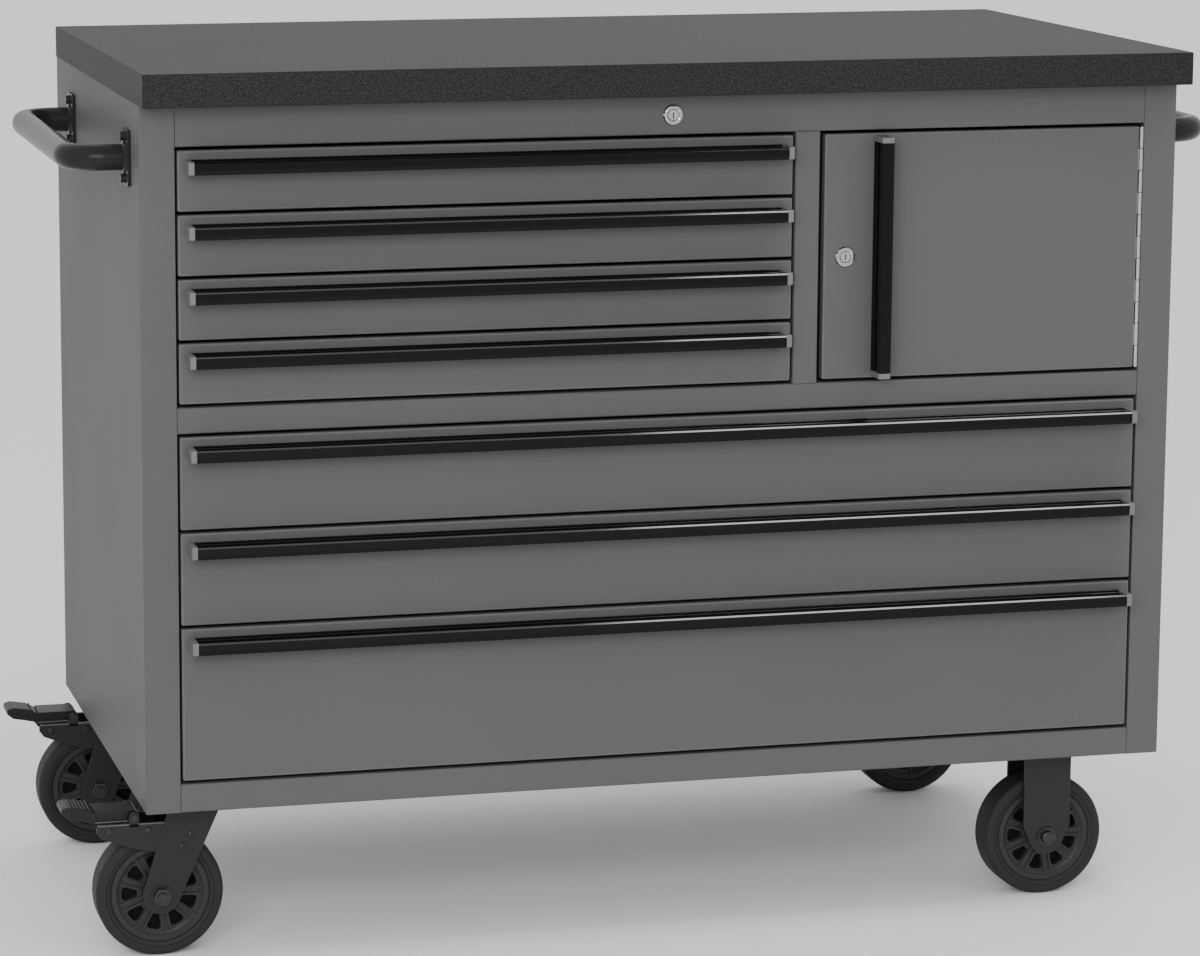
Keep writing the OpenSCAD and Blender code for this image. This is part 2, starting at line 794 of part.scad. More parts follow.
// A wheel core about Y: hub, web with pockets between double-ribbed spokes, and rim
module wheel_core(cx, cy) {
    half = wheel_w / 2;
    color(core_grey) translate([cx, cy, wheel_r]) rotate([90, 0, 0]) {
        difference() {
            union() {
                translate([0, 0, -half - 2]) cylinder(r = hub_r, h = 2 * half + 4);
                translate([0, 0, -5]) cylinder(r = core_r - 1, h = 10);
                difference() {
                    translate([0, 0, -half + 2]) cylinder(r = core_r, h = 2 * half - 4);
                    translate([0, 0, -half]) cylinder(r = rim_in, h = 2 * half);
                }
                for (s = [0:spokes - 1]) rotate(s * 360 / spokes) for (y = [-5.5, 2.5])
                    translate([hub_r - 2, y, -half + 5]) cube([rim_in - hub_r + 4, 3, 2 * half - 10]);
            }
            translate([0, 0, -half - 3]) cylinder(r = axle_r + running_gap, h = 2 * half + 6);
        }
    }
}

// A tyre about Y with rounded shoulders
module tyre(cx, cy) {
    half = wheel_w / 2;
    shoulder = 6;
    inner = core_r + 0.02;
    color(tyre_grey) translate([cx, cy, wheel_r]) rotate([90, 0, 0]) rotate_extrude() {
        translate([inner, -half + 2]) square([wheel_r - shoulder - inner, 2 * half - 4]);
        translate([core_r + 4, -half]) square([wheel_r - shoulder - core_r - 4, 2 * half]);
        translate([wheel_r - shoulder - e, -half + shoulder])
            square([shoulder + e, 2 * (half - shoulder)]);
        for (z = [-1, 1]) translate([wheel_r - shoulder, z * (half - shoulder)])
            circle(shoulder);
    }
}

worktop();
side_panel_left();
side_panel_right();
slide_walls();
partition();
back_panel();
base_pan();
top_rail();
mid_rail();
bottom_rail();
locker_floor();
cabinet_slide_members();
push_handle_left();
push_handle_right();
push_handle_bolts();
main_lock_housing();
main_lock_cylinder();
lock_bar();
door_panel();
door_handle();
door_lock_housing();
door_lock_cylinder();
hinge_frame_leaf();
hinge_door_leaf();
swivel_plates();
swivel_fork(caster_ys[0]);  // swivel_fork_front
swivel_fork(caster_ys[1]);  // swivel_fork_rear
brake_pedal(caster_ys[0]);  // brake_pedal_front
brake_pedal(caster_ys[1]);  // brake_pedal_rear
wheel_core(swivel_x - trail, caster_ys[0]);  // wheel_core_front_left
wheel_core(swivel_x - trail, caster_ys[1]);  // wheel_core_rear_left
wheel_core(fixed_x, caster_ys[0]);  // wheel_core_front_right
wheel_core(fixed_x, caster_ys[1]);  // wheel_core_rear_right
tyre(swivel_x - trail, caster_ys[0]);  // tyre_front_left
tyre(swivel_x - trail, caster_ys[1]);  // tyre_rear_left
tyre(fixed_x, caster_ys[0]);  // tyre_front_right
tyre(fixed_x, caster_ys[1]);  // tyre_rear_right
fixed_forks();
caster_bolts();
drawer_box(1);  // drawer_1_box
drawer_box(2);  // drawer_2_box
drawer_box(3);  // drawer_3_box
drawer_box(4);  // drawer_4_box
drawer_box(5);  // drawer_5_box
drawer_box(6);  // drawer_6_box
drawer_box(7);  // drawer_7_box
drawer_handle(1);  // drawer_1_handle
drawer_handle(2);  // drawer_2_handle
drawer_handle(3);  // drawer_3_handle
drawer_handle(4);  // drawer_4_handle
drawer_handle(5);  // drawer_5_handle
drawer_handle(6);  // drawer_6_handle
drawer_handle(7);  // drawer_7_handle
drawer_slide_mid(1);  // drawer_1_slide_mid
drawer_slide_mid(2);  // drawer_2_slide_mid
drawer_slide_mid(3);  // drawer_3_slide_mid
drawer_slide_mid(4);  // drawer_4_slide_mid
drawer_slide_mid(5);  // drawer_5_slide_mid
drawer_slide_mid(6);  // drawer_6_slide_mid
drawer_slide_mid(7);  // drawer_7_slide_mid
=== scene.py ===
# Rolling tool chest: folded sheet steel cabinet, seven drawers, a locker, a board worktop,
# two tube push handles and four casters, built up in the order it goes together.
import json
import math

import bmesh
import bpy
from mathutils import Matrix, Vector


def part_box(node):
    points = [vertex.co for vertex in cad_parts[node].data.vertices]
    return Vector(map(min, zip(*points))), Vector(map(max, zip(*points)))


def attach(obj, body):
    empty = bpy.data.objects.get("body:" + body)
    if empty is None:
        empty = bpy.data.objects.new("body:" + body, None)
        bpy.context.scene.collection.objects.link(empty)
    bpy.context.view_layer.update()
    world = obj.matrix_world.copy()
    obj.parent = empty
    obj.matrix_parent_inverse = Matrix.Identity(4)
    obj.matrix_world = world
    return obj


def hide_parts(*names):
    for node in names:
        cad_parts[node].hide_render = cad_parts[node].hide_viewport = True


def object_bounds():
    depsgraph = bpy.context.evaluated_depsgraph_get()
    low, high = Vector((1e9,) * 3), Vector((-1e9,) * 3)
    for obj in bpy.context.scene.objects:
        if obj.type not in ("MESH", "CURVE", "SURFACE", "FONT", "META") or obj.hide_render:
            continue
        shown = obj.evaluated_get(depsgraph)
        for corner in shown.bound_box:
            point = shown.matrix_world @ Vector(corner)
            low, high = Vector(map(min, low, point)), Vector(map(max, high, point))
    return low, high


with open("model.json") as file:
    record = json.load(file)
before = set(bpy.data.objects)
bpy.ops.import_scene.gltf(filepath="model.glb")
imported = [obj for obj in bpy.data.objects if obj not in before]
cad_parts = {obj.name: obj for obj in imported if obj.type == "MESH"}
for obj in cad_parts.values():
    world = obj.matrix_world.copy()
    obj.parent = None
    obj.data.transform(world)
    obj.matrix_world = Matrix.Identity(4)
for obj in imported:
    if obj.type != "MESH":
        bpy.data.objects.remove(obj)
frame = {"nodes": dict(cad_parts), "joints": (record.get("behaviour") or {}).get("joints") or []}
cad_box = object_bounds()


# ---- Cabinet sheets ----
# Side panels, rails and the post beside the locker: 1.5 mm steel, folded with a small
# bend radius and powder coated in a satin mid-grey that shows a fine orange peel.

SHEET = 0.0015
BEND = 0.0022
CUT_EDGE = 0.0003
FLANGE = 0.025
FLOOR_FLANGE = 0.016
RAIL_GAP = 0.0006


def shader_group(name, inputs, outputs):
    """An empty node group with these sockets; returns the group with its input and output nodes."""
    group = bpy.data.node_groups.new(name, "ShaderNodeTree")
    kinds = {"f": "NodeSocketFloat", "c": "NodeSocketColor", "v": "NodeSocketVector"}
    for label, kind in inputs:
        group.interface.new_socket(name=label, in_out="INPUT", socket_type=kinds[kind])
    for label, kind in outputs:
        group.interface.new_socket(name=label, in_out="OUTPUT", socket_type=kinds[kind])
    return group, group.nodes.new("NodeGroupInput"), group.nodes.new("NodeGroupOutput")


def add_node(group, kind, links=None, **values):
    """Adds a node, sets its properties or sockets, and links sockets to other nodes' outputs."""
    node = group.nodes.new(kind)
    for key, value in values.items():
        if hasattr(node, key):
            setattr(node, key, value)
        else:
            node.inputs[key].default_value = value
    for key, source in (links or {}).items():
        group.links.new(source, node.inputs[key])
    return node


def coat_skin_group():
    """Paint, plating or moulded skin: mottled tone, lighter rounded edges (partly rubbed wear,
    partly painted highlight), fine bump.
    """
    cloud_scale, edge_wear_and_highlight_scale, rough_swing = 5.0, 60.0, 0.12
    group, given, out = shader_group(
        "coat_skin",
        [("Colour", "c"), ("Mottle", "f"), ("Edge Wear And Highlight", "f"), ("Roughness", "f"),
         ("Grain Scale", "f"), ("Grain Depth", "f"), ("Stretch", "v")],
        [("Colour", "c"), ("Roughness", "f"), ("Normal", "v")])
    place = add_node(group, "ShaderNodeTexCoord").outputs["Object"]
    drawn = add_node(group, "ShaderNodeVectorMath", {0: place, 1: given.outputs["Stretch"]},
                     operation="MULTIPLY").outputs[0]
    cloud = add_node(group, "ShaderNodeTexNoise", {"Vector": place}, Scale=cloud_scale, Detail=4.0)
    fleck = add_node(group, "ShaderNodeTexNoise",
                     {"Vector": drawn, "Scale": given.outputs["Grain Scale"]}, Detail=2.0)
    centred = add_node(group, "ShaderNodeMath", {0: cloud.outputs[0]}, operation="SUBTRACT")
    centred.inputs[1].default_value = 0.5
    fleck_centred = add_node(group, "ShaderNodeMath", {0: fleck.outputs[0]}, operation="SUBTRACT")
    fleck_centred.inputs[1].default_value = 0.5
    both = add_node(group, "ShaderNodeMath",
                    {0: centred.outputs[0], 1: fleck_centred.outputs[0]}, operation="ADD")
    tone = add_node(group, "ShaderNodeMath", {0: both.outputs[0], 1: given.outputs["Mottle"]},
                    operation="MULTIPLY_ADD")
    tone.inputs[2].default_value = 1.0
    # Rounded edge faces are lightened, broken up by noise: partly rubbed wear, partly a painted
    # highlight along the edges.
    edge = add_node(group, "ShaderNodeAttribute", attribute_name="edge")
    edge_wear_and_highlight_noise = add_node(group, "ShaderNodeTexNoise", {"Vector": place}, Scale=edge_wear_and_highlight_scale,
                         Detail=3.0)
    edge_wear_and_highlight_mark = add_node(group, "ShaderNodeMath", {0: edge.outputs["Fac"], 1: edge_wear_and_highlight_noise.outputs[0]},
                   operation="MULTIPLY")
    lift = add_node(group, "ShaderNodeMath",
                    {0: edge_wear_and_highlight_mark.outputs[0], 1: given.outputs["Edge Wear And Highlight"], 2: tone.outputs[0]},
                    operation="MULTIPLY_ADD")
    colour = add_node(group, "ShaderNodeVectorMath", {0: given.outputs["Colour"]},
                      operation="SCALE")
    group.links.new(lift.outputs[0], colour.inputs["Scale"])
    rough = add_node(group, "ShaderNodeMath",
                     {0: both.outputs[0], 2: given.outputs["Roughness"]},
                     operation="MULTIPLY_ADD")
    rough.inputs[1].default_value = rough_swing
    bump = add_node(group, "ShaderNodeBump",
                    {"Height": fleck.outputs[0], "Distance": given.outputs["Grain Depth"]})
    group.links.new(colour.outputs[0], out.inputs["Colour"])
    group.links.new(rough.outputs[0], out.inputs["Roughness"])
    group.links.new(bump.outputs[0], out.inputs["Normal"])
    return group


COAT_SKIN = coat_skin_group()


# The edge amount lightens the rounded edges: partly rubbed wear, partly painted highlight.
def coat_finish(name, colour, roughness, mottle=0.12, edge_light=0.5, grain=600, depth=0.0001,
                stretch=(1, 1, 1), **shader):
    """A material made of the coat skin group; shader gives the Principled sockets that differ."""
    mat = bpy.data.materials.new(name)
    mat.use_nodes = True
    tree = mat.node_tree
    surface = tree.nodes["Principled BSDF"]
    skin = tree.nodes.new("ShaderNodeGroup")
    skin.node_tree = COAT_SKIN
    skin.inputs["Colour"].default_value = (colour, colour, colour * 1.01, 1)
    skin.inputs["Roughness"].default_value = roughness
    skin.inputs["Mottle"].default_value = mottle
    skin.inputs["Edge Wear And Highlight"].default_value = edge_light
    skin.inputs["Grain Scale"].default_value = grain
    skin.inputs["Grain Depth"].default_value = depth
    skin.inputs["Stretch"].default_value = stretch
    tree.links.new(skin.outputs["Colour"], surface.inputs["Base Color"])
    tree.links.new(skin.outputs["Roughness"], surface.inputs["Roughness"])
    tree.links.new(skin.outputs["Normal"], surface.inputs["Normal"])
    for socket, value in shader.items():
        surface.inputs[socket.replace("_", " ")].default_value = value
    return mat


def new_shape():
    """An empty mesh in work, with a mark for the faces of rounded edges."""
    bm = bmesh.new()
    bm.faces.layers.float.new("edge")
    return bm


def on_axis(axis):
    """Maps outline coordinates and a height along axis to a point."""
    return {"x": lambda u, v, w: (w, u, v),
            "y": lambda u, v, w: (u, w, v),
            "z": lambda u, v, w: (u, v, w)}[axis]


def close_faces(bm, before, mat):
    """Turns the faces made since before outwards and gives them a material."""
    fresh = [f for f in bm.faces if f not in before]
    bmesh.ops.recalc_face_normals(bm, faces=fresh)
    for face in fresh:
        face.material_index = mat
    return fresh


def round_edges(bm, before, width, steps, sharp=35):
    """Rounds the sharp edges of the faces made since before and marks the new faces."""
    edges = [e for e in bm.edges
             if len(e.link_faces) == 2 and e.link_faces[0] not in before
             and e.calc_face_angle() > math.radians(sharp)]
    made = bmesh.ops.bevel(bm, geom=edges, offset=width, offset_type="OFFSET",
                           segments=steps, profile=0.5, affect="EDGES", clamp_overlap=True)
    mark = bm.faces.layers.float["edge"]
    for face in made["faces"]:
        face[mark] = 1.0


def prism(bm, outline, axis, low, high, mat=0, edge=0.0, steps=2):
    """A solid of this outline between two heights along axis, its edges rounded by edge."""
    before = set(bm.faces)
    at = on_axis(axis)
    ends = [[bm.verts.new(at(u, v, w)) for u, v in outline] for w in sorted((low, high))]
    for ring in ends:
        bm.faces.new(ring)
    for i in range(len(outline)):
        j = (i + 1) % len(outline)
        bm.faces.new((ends[0][i], ends[0][j], ends[1][j], ends[1][i]))
    close_faces(bm, before, mat)
    if edge:
        round_edges(bm, before, edge, steps)
    close_faces(bm, before, mat)


def block(bm, low, high, mat=0, edge=0.0, steps=2):
    """A box between two corners with rounded edges."""
    outline = [(low[0], low[1]), (high[0], low[1]), (high[0], high[1]), (low[0], high[1])]
    prism(bm, outline, "z", low[2], high[2], mat, edge, steps)


def rounded(points, radius, steps=5):
    """The outline with its corners rounded; radius is one value or one for each corner."""
    out = []
    count = len(points)
    for i, corner in enumerate(points):
        r = radius[i] if isinstance(radius, (list, tuple)) else radius
        here = Vector(corner)
        before = (Vector(points[i - 1]) - here)
        after = (Vector(points[(i + 1) % count]) - here)
        half = before.angle(after) / 2
        if r <= 0 or half > math.radians(88):
            out.append(tuple(here))
            continue
        reach = min(r / math.tan(half), before.length * 0.49, after.length * 0.49)
        r = reach * math.tan(half)
        middle = here + (before.normalized() + after.normalized()).normalized() * r / math.sin(half)
        start = here + before.normalized() * reach - middle
        end = here + after.normalized() * reach - middle
        turn = math.atan2(start.x * end.y - start.y * end.x, start.dot(end))
        angle = math.atan2(start.y, start.x)
        for k in range(steps + 1):
            a = angle + turn * k / steps
            out.append((middle.x + r * math.cos(a), middle.y + r * math.sin(a)))
    return out


def folded(path, thickness, bend):
    """Outline of a strip of sheet along path, its body to the left, with round bends."""
    points = [Vector(p) for p in path]
    inner = []
    for i, point in enumerate(points):
        ways = []
        if i > 0:
            ways.append((point - points[i - 1]).normalized())
        if i < len(points) - 1:
            ways.append((points[i + 1] - point).normalized())
        sides = [Vector((-w.y, w.x)) for w in ways]
        if len(sides) == 1:
            inner.append(point + sides[0] * thickness)
        else:
            inner.append(point + (sides[0] + sides[1]) * thickness / (1 + sides[0].dot(sides[1])))
    last = len(points) - 1
    radii = [0 if i in (0, last) else bend for i in range(len(points))]
    small = [0 if i in (0, last) else max(bend - thickness, 0.0004) for i in range(len(points))]
    return rounded([tuple(p) for p in points] + [tuple(p) for p in reversed(inner)],
                   radii + small[::-1])


def settle_normals(mesh):
    """Weights each corner's normal by face area, so large faces stay flat beside their bends."""
    around = [[] for _ in mesh.vertices]
    for poly in mesh.polygons:
        for vert in poly.vertices:
            around[vert].append(poly)
    normals = []
    for poly in mesh.polygons:
        for vert in poly.vertices:
            total = sum((p.normal * p.area for p in around[vert]
                         if p.normal.dot(poly.normal) > 0.83), Vector())
            normals.append(total.normalized())
    mesh.normals_split_custom_set(normals)


def piece(bm, name, mats, body, slot, *nodes):
    """Finishes a mesh as a piece that rides on body and stands for the CAD nodes named."""
    mesh = bpy.data.meshes.new(name)
    bmesh.ops.remove_doubles(bm, verts=bm.verts, dist=1e-7)
    bm.to_mesh(mesh)
    bm.free()
    for mat in mats:
        mesh.materials.append(mat)
    mesh.shade_smooth()
    settle_normals(mesh)
    obj = bpy.data.objects.new(name, mesh)
    bpy.context.scene.collection.objects.link(obj)
    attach(obj, body)
    if nodes:
        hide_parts(*nodes)
    return obj


body_paint = coat_finish("body_paint", 0.094, 0.48, mottle=0.1, edge_light=0.5,
                         Specular_IOR_Level=0.3, IOR=1.2)

panel_low, panel_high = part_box("side_panel_left")
front_y, back_y = panel_low.y, panel_high.y
cab_low, cab_high = panel_low.z, panel_high.z
half_width = -panel_low.x
opening = -panel_high.x
pan_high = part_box("base_pan")[1]

for side, name in ((-1, "side_panel_left"), (1, "side_panel_right")):
    shape = new_shape()
    plan = folded([(-opening, front_y), (-half_width, front_y), (-half_width, back_y)],
                  -SHEET, BEND)
    plan = [(-side * u, v) for u, v in plan]
    prism(shape, plan, "z", cab_low, cab_high, edge=CUT_EDGE, steps=1)
    for fold, y0, z0, z1 in ((FLANGE, front_y + SHEET, cab_high - SHEET, cab_high),
                             (FLOOR_FLANGE, front_y + SHEET, pan_high.z, pan_high.z + SHEET),
                             (FLANGE, back_y - 2 * SHEET, pan_high.z, cab_high)):
        near, far = sorted((side * (half_width - SHEET), side * (half_width - fold)))
        block(shape, (near, y0, z0), (far, back_y - SHEET, z1))
    piece(shape, name + "_skin", [body_paint], "cabinet", "body_paint", name)

for rail in ("top_rail", "mid_rail", "bottom_rail"):
    low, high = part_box(rail)
    shape = new_shape()
    fold_back = front_y + FLANGE
    section = folded([(fold_back, high.z), (front_y, high.z), (front_y, low.z),
                      (fold_back, low.z)], SHEET, BEND)
    prism(shape, section, "x", -opening + RAIL_GAP, opening - RAIL_GAP, edge=CUT_EDGE, steps=1)
    piece(shape, rail + "_skin", [body_paint], "cabinet", "body_paint", rail)

post_low, post_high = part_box("partition")
shape = new_shape()
plan = folded([(post_low.x, back_y - SHEET), (post_low.x, front_y), (post_high.x, front_y),
               (post_high.x, back_y - SHEET)], SHEET, BEND)
rail_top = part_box("top_rail")[0].z
prism(shape, plan, "z", post_low.z, rail_top, edge=CUT_EDGE, steps=1)
for x in (post_low.x, post_high.x - SHEET):
    block(shape, (x, front_y + FLANGE, rail_top), (x + SHEET, back_y - SHEET, cab_high - SHEET))
piece(shape, "locker_post_skin", [body_paint], "cabinet", "body_paint", "partition")

for node in ("slide_walls", "back_panel", "base_pan", "locker_floor"):
    frame["nodes"][node].data.materials.clear()
    frame["nodes"][node].data.materials.append(body_paint)


# ---- Drawer slides and lock bar ----
# Ball-bearing slides in three nested rolled channels, and the flat bar with its catches:
# bright zinc plate with the faint lines of the rolling along their length.

zinc = coat_finish("zinc_plate", 0.34, 0.34, mottle=0.25, edge_light=0.2, grain=90,
                   depth=0.00003, stretch=(8, 0.4, 8), Metallic=1.0)

for node, obj in frame["nodes"].items():
    if node in ("cabinet_slide_members", "lock_bar") or node.endswith("_slide_mid"):
        obj.data.materials.clear()
        obj.data.materials.append(zinc)


# ---- Drawers ----
# Each drawer is a folded front on an open tray with a rolled rim, painted like the body.
# The inner member of each slide is riveted to the tray's side.

TRAY_SHEET = 0.0012
TRAY_EDGE = 0.0005
TRAY_SINK = 0.006
FRONT_DEPTH = 0.016
FRONT_ROUND = 0.0022
RIM = 0.006
SLIDE_ROOM = 0.008
MEMBER_TALL = 0.0304
MEMBER_REACH = 0.0056
MEMBER_T = 0.0014
MEMBER_EDGE = 0.0004


def open_tray(bm, low, high, sheet):
    """A tray without a top, its rim folded inwards."""
    before = set(bm.faces)
    rings = []
    for grow, z in ((0, high.z), (0, low.z), (sheet, low.z + sheet), (sheet, high.z - sheet),
                    (RIM, high.z - sheet), (RIM, high.z)):
        corners = [(low.x + grow, low.y + grow), (high.x - grow, low.y + grow),
                   (high.x - grow, high.y - grow), (low.x + grow, high.y - grow)]
        rings.append([bm.verts.new((x, y, z)) for x, y in corners])
    for a, b in zip(rings, rings[1:] + rings[:1]):
        if a is rings[1]:
            continue
        for i in range(4):
            j = (i + 1) % 4
            bm.faces.new((a[i], a[j], b[j], b[i]))
    bm.faces.new(rings[1])
    bm.faces.new(rings[2])
    close_faces(bm, before, 0)
    round_edges(bm, before, TRAY_EDGE, 2)
    close_faces(bm, before, 0)


def slide_channel(bm, x0, x1, web_x, y0, y1, z, height, mat):
    """A rolled slide member along Y: a web with two short edges."""
    for edge_z in (z - height / 2, z + height / 2 - MEMBER_T):
        block(bm, (x0, y0, edge_z), (x1, y1, edge_z + MEMBER_T), mat, MEMBER_EDGE, 1)
    block(bm, (web_x, y0, z - height / 2), (web_x + MEMBER_T, y1, z + height / 2),
          mat, MEMBER_EDGE, 1)


for number in range(1, 8):
    node = f"drawer_{number}_box"
    low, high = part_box(node)
    slide_low, slide_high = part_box(f"drawer_{number}_slide_mid")
    shape = new_shape()
    block(shape, (low.x, front_y, low.z), (high.x, front_y + FRONT_DEPTH, high.z),
          0, FRONT_ROUND, 3)
    tray_low = Vector((slide_low.x + SLIDE_ROOM, front_y + FRONT_DEPTH, low.z + TRAY_SINK))
    tray_high = Vector((slide_high.x - SLIDE_ROOM, high.y, high.z - TRAY_SINK))
    open_tray(shape, tray_low, tray_high, TRAY_SHEET)
    middle = (low.z + high.z) / 2
    slide_channel(shape, tray_low.x - MEMBER_REACH, tray_low.x, tray_low.x - MEMBER_T,
                  slide_low.y, slide_high.y, middle, MEMBER_TALL, 1)
    slide_channel(shape, tray_high.x, tray_high.x + MEMBER_REACH, tray_high.x,
                  slide_low.y, slide_high.y, middle, MEMBER_TALL, 1)
    piece(shape, f"drawer_{number}_front_and_tray", [body_paint, zinc],
          f"drawer_{number}", "body_paint", node)


# ---- Pull handles ----
# Extruded finger pulls with a high-gloss black coat, open below, closed by grey moulded
# end caps. The eased top edge of the lip catches the light and has a glossier coat.

PULL_COAT = {"mottle": 0.3, "edge_light": 0.5, "grain": 120, "depth": 0.00002}
handle_black = coat_finish("handle_black", 0.0035, 0.14, stretch=(0.3, 8, 8),
                           Specular_IOR_Level=0.13, **PULL_COAT)
door_handle_black = coat_finish("door_handle_black", 0.0035, 0.14, stretch=(8, 8, 0.3),
                                Specular_IOR_Level=0.13, **PULL_COAT)
handle_edge = coat_finish("handle_black_edge", 0.0035, 0.12, Specular_IOR_Level=0.8,
                          **PULL_COAT)
cap_grey = coat_finish("cap_grey", 0.12, 0.45, mottle=0.15, edge_light=0.4, grain=1500)

GRIP_OUT = 0.030
GRIP_TALL = 0.015
LIP = 0.0055
WEB = 0.003
CAP = 0.0065
CAP_EDGE = 0.0006
EASED = 0.0020
FACING = 0.6


def grip_outline():
    """Section of the finger pull: (distance in front of the face, height), top at zero."""
    gutter = 0.0035
    lip_top = -0.0008
    corners = [(0, 0), (WEB, 0), (WEB, -gutter), (GRIP_OUT - LIP, -gutter),
               (GRIP_OUT - LIP + 0.0022, lip_top),
               (GRIP_OUT - EASED, lip_top), (GRIP_OUT, lip_top - EASED),
               (GRIP_OUT, -GRIP_TALL + 0.0045), (GRIP_OUT - 0.0012, -GRIP_TALL),
               (GRIP_OUT - LIP, -GRIP_TALL), (GRIP_OUT - LIP, -gutter - WEB),
               (WEB, -gutter - WEB), (WEB, -GRIP_TALL), (0, -GRIP_TALL)]
    radii = [0.0008, 0.0008, 0.0012, 0.002, 0.0008, 0.0008, 0.0008, 0.002, 0.0008, 0.0012,
             0.002, 0.002, 0.0008, 0.0003]
    return rounded(corners, radii)


def grip_cap_outline():
    """The end caps fill the section between lip and face."""
    corners = [(0, 0), (GRIP_OUT, 0), (GRIP_OUT, -GRIP_TALL), (0, -GRIP_TALL)]
    return rounded(corners, [0.0008, 0.0028, 0.0022, 0.0008])


for number in range(1, 8):
    node = f"drawer_{number}_handle"
    low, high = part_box(node)
    shape = new_shape()
    section = [(front_y - out, high.z + up) for out, up in grip_outline()]
    prism(shape, section, "x", low.x + CAP, high.x - CAP, 0)
    shape.normal_update()
    for face in shape.faces:
        if face.normal.z > FACING and face.normal.y < -FACING:
            face.material_index = 2
    cap_section = [(front_y - out, high.z + up) for out, up in grip_cap_outline()]
    for x in (low.x, high.x - CAP):
        prism(shape, cap_section, "x", x, x + CAP, 1, CAP_EDGE, 2)
    piece(shape, f"drawer_{number}_pull", [handle_black, cap_grey, handle_edge],
          f"drawer_{number}", "handle_black", node)


# ---- Locker door ----
# A folded door panel with an upright pull, hung on a full-length piano hinge. The hinge is
# zinc plated: rolled knuckles on a steel pin, alternately from the frame's leaf and the door's.

DOOR_ROUND = 0.0018
low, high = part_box("door_panel")
shape = new_shape()
block(shape, low, high, 0, DOOR_ROUND, 3)
piece(shape, "door_panel_skin", [body_paint], "door", "body_paint", "door_panel")

low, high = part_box("door_handle")
shape = new_shape()
section = [(low.x - up, front_y - out) for out, up in grip_outline()]
prism(shape, section, "z", low.z + CAP, high.z - CAP, 0)
cap_section = [(low.x - up, front_y - out) for out, up in grip_cap_outline()]
for z in (low.z, high.z - CAP):
    prism(shape, cap_section, "z", z, z + CAP, 1, CAP_EDGE, 2)
piece(shape, "door_pull", [door_handle_black, cap_grey], "door", "handle_black", "door_handle")


def turned(bm, profile, centre, axis, mat=0, sides=48):
    """A turned shape: profile is (radius, height along axis) from one end to the other."""
    before = set(bm.faces)
    at = on_axis(axis)
    rings = []
    for radius, height in profile:
        if radius <= 0:
            rings.append([bm.verts.new(Vector(at(0, 0, height)) + centre)])
            continue
        rings.append([bm.verts.new(Vector(at(radius * math.cos(a), radius * math.sin(a), height))
                                   + centre)
                      for a in (2 * math.pi * k / sides for k in range(sides))])
    for a, b in zip(rings, rings[1:]):
        for i in range(sides):
            j = (i + 1) % sides
            if len(a) == 1 and len(b) == 1:
                break
            if len(a) == 1:
                bm.faces.new((a[0], b[j], b[i]))
            elif len(b) == 1:
                bm.faces.new((a[i], a[j], b[0]))
            else:
                bm.faces.new((a[i], a[j], b[j], b[i]))
    close_faces(bm, before, mat)


def ring_solid(bm, profile, centre, axis, mat=0, sides=64):
    """A turned ring: a closed profile of (radius, height) that doesn't reach the axis."""
    before = set(bm.faces)
    at = on_axis(axis)
    rings = [[bm.verts.new(Vector(at(radius * math.cos(a), radius * math.sin(a), height))
                           + centre)
              for a in (2 * math.pi * k / sides for k in range(sides))]
             for radius, height in profile]
    for a, b in zip(rings, rings[1:] + rings[:1]):
        for i in range(sides):
            j = (i + 1) % sides
            bm.faces.new((a[i], a[j], b[j], b[i]))
    close_faces(bm, before, mat)


hinge_steel = coat_finish("hinge_zinc", 0.45, 0.3, mottle=0.3, edge_light=0.2, grain=500,
                          depth=0.00003, Metallic=1.0)
joints = {j["name"]: j for j in frame["joints"]}
pin_at = Vector(joints["door_hinge"]["pos_m"])
door_low, door_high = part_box("hinge_door_leaf")
frame_low, frame_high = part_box("hinge_frame_leaf")
KNUCKLES = 11
KNUCKLE_R = 0.0025
KNUCKLE_EASE = 0.0004
KNUCKLE_GAP = 0.0005
LEAF_T = 0.001
LEAF_CLEAR = 0.0003
pitch = (frame_high.z - frame_low.z) / KNUCKLES
for first, name, node, leaf_x, back, body in (
        (0, "hinge_leaf_on_frame", "hinge_frame_leaf", frame_high.x - LEAF_T, frame_high.y,
         "cabinet"),
        (1, "hinge_leaf_on_door", "hinge_door_leaf", door_low.x, door_high.y, "door")):
    shape = new_shape()
    block(shape, (leaf_x, pin_at.y + KNUCKLE_R + LEAF_CLEAR, frame_low.z),
          (leaf_x + LEAF_T, back, frame_high.z), 0, 0.0002, 1)
    for k in range(first, KNUCKLES, 2):
        z0 = frame_low.z + k * pitch + KNUCKLE_GAP / 2
        z1 = z0 + pitch - KNUCKLE_GAP
        turned(shape, [(0, z0), (KNUCKLE_R - KNUCKLE_EASE, z0), (KNUCKLE_R, z0 + KNUCKLE_EASE),
                       (KNUCKLE_R, z1 - KNUCKLE_EASE), (KNUCKLE_R - KNUCKLE_EASE, z1), (0, z1)],
               Vector((pin_at.x, pin_at.y, 0)), "z", 0, 24)
        block(shape, (leaf_x, pin_at.y, z0),
              (leaf_x + LEAF_T, pin_at.y + KNUCKLE_R + KNUCKLE_EASE, z1))
    piece(shape, name, [hinge_steel], body, "zinc", node)


# ---- Locks ----
# Cam locks with a chromed collar and a turning plug with its keyway; the main lock's
# plug carries the long rod and the crank that lifts the lock bar.

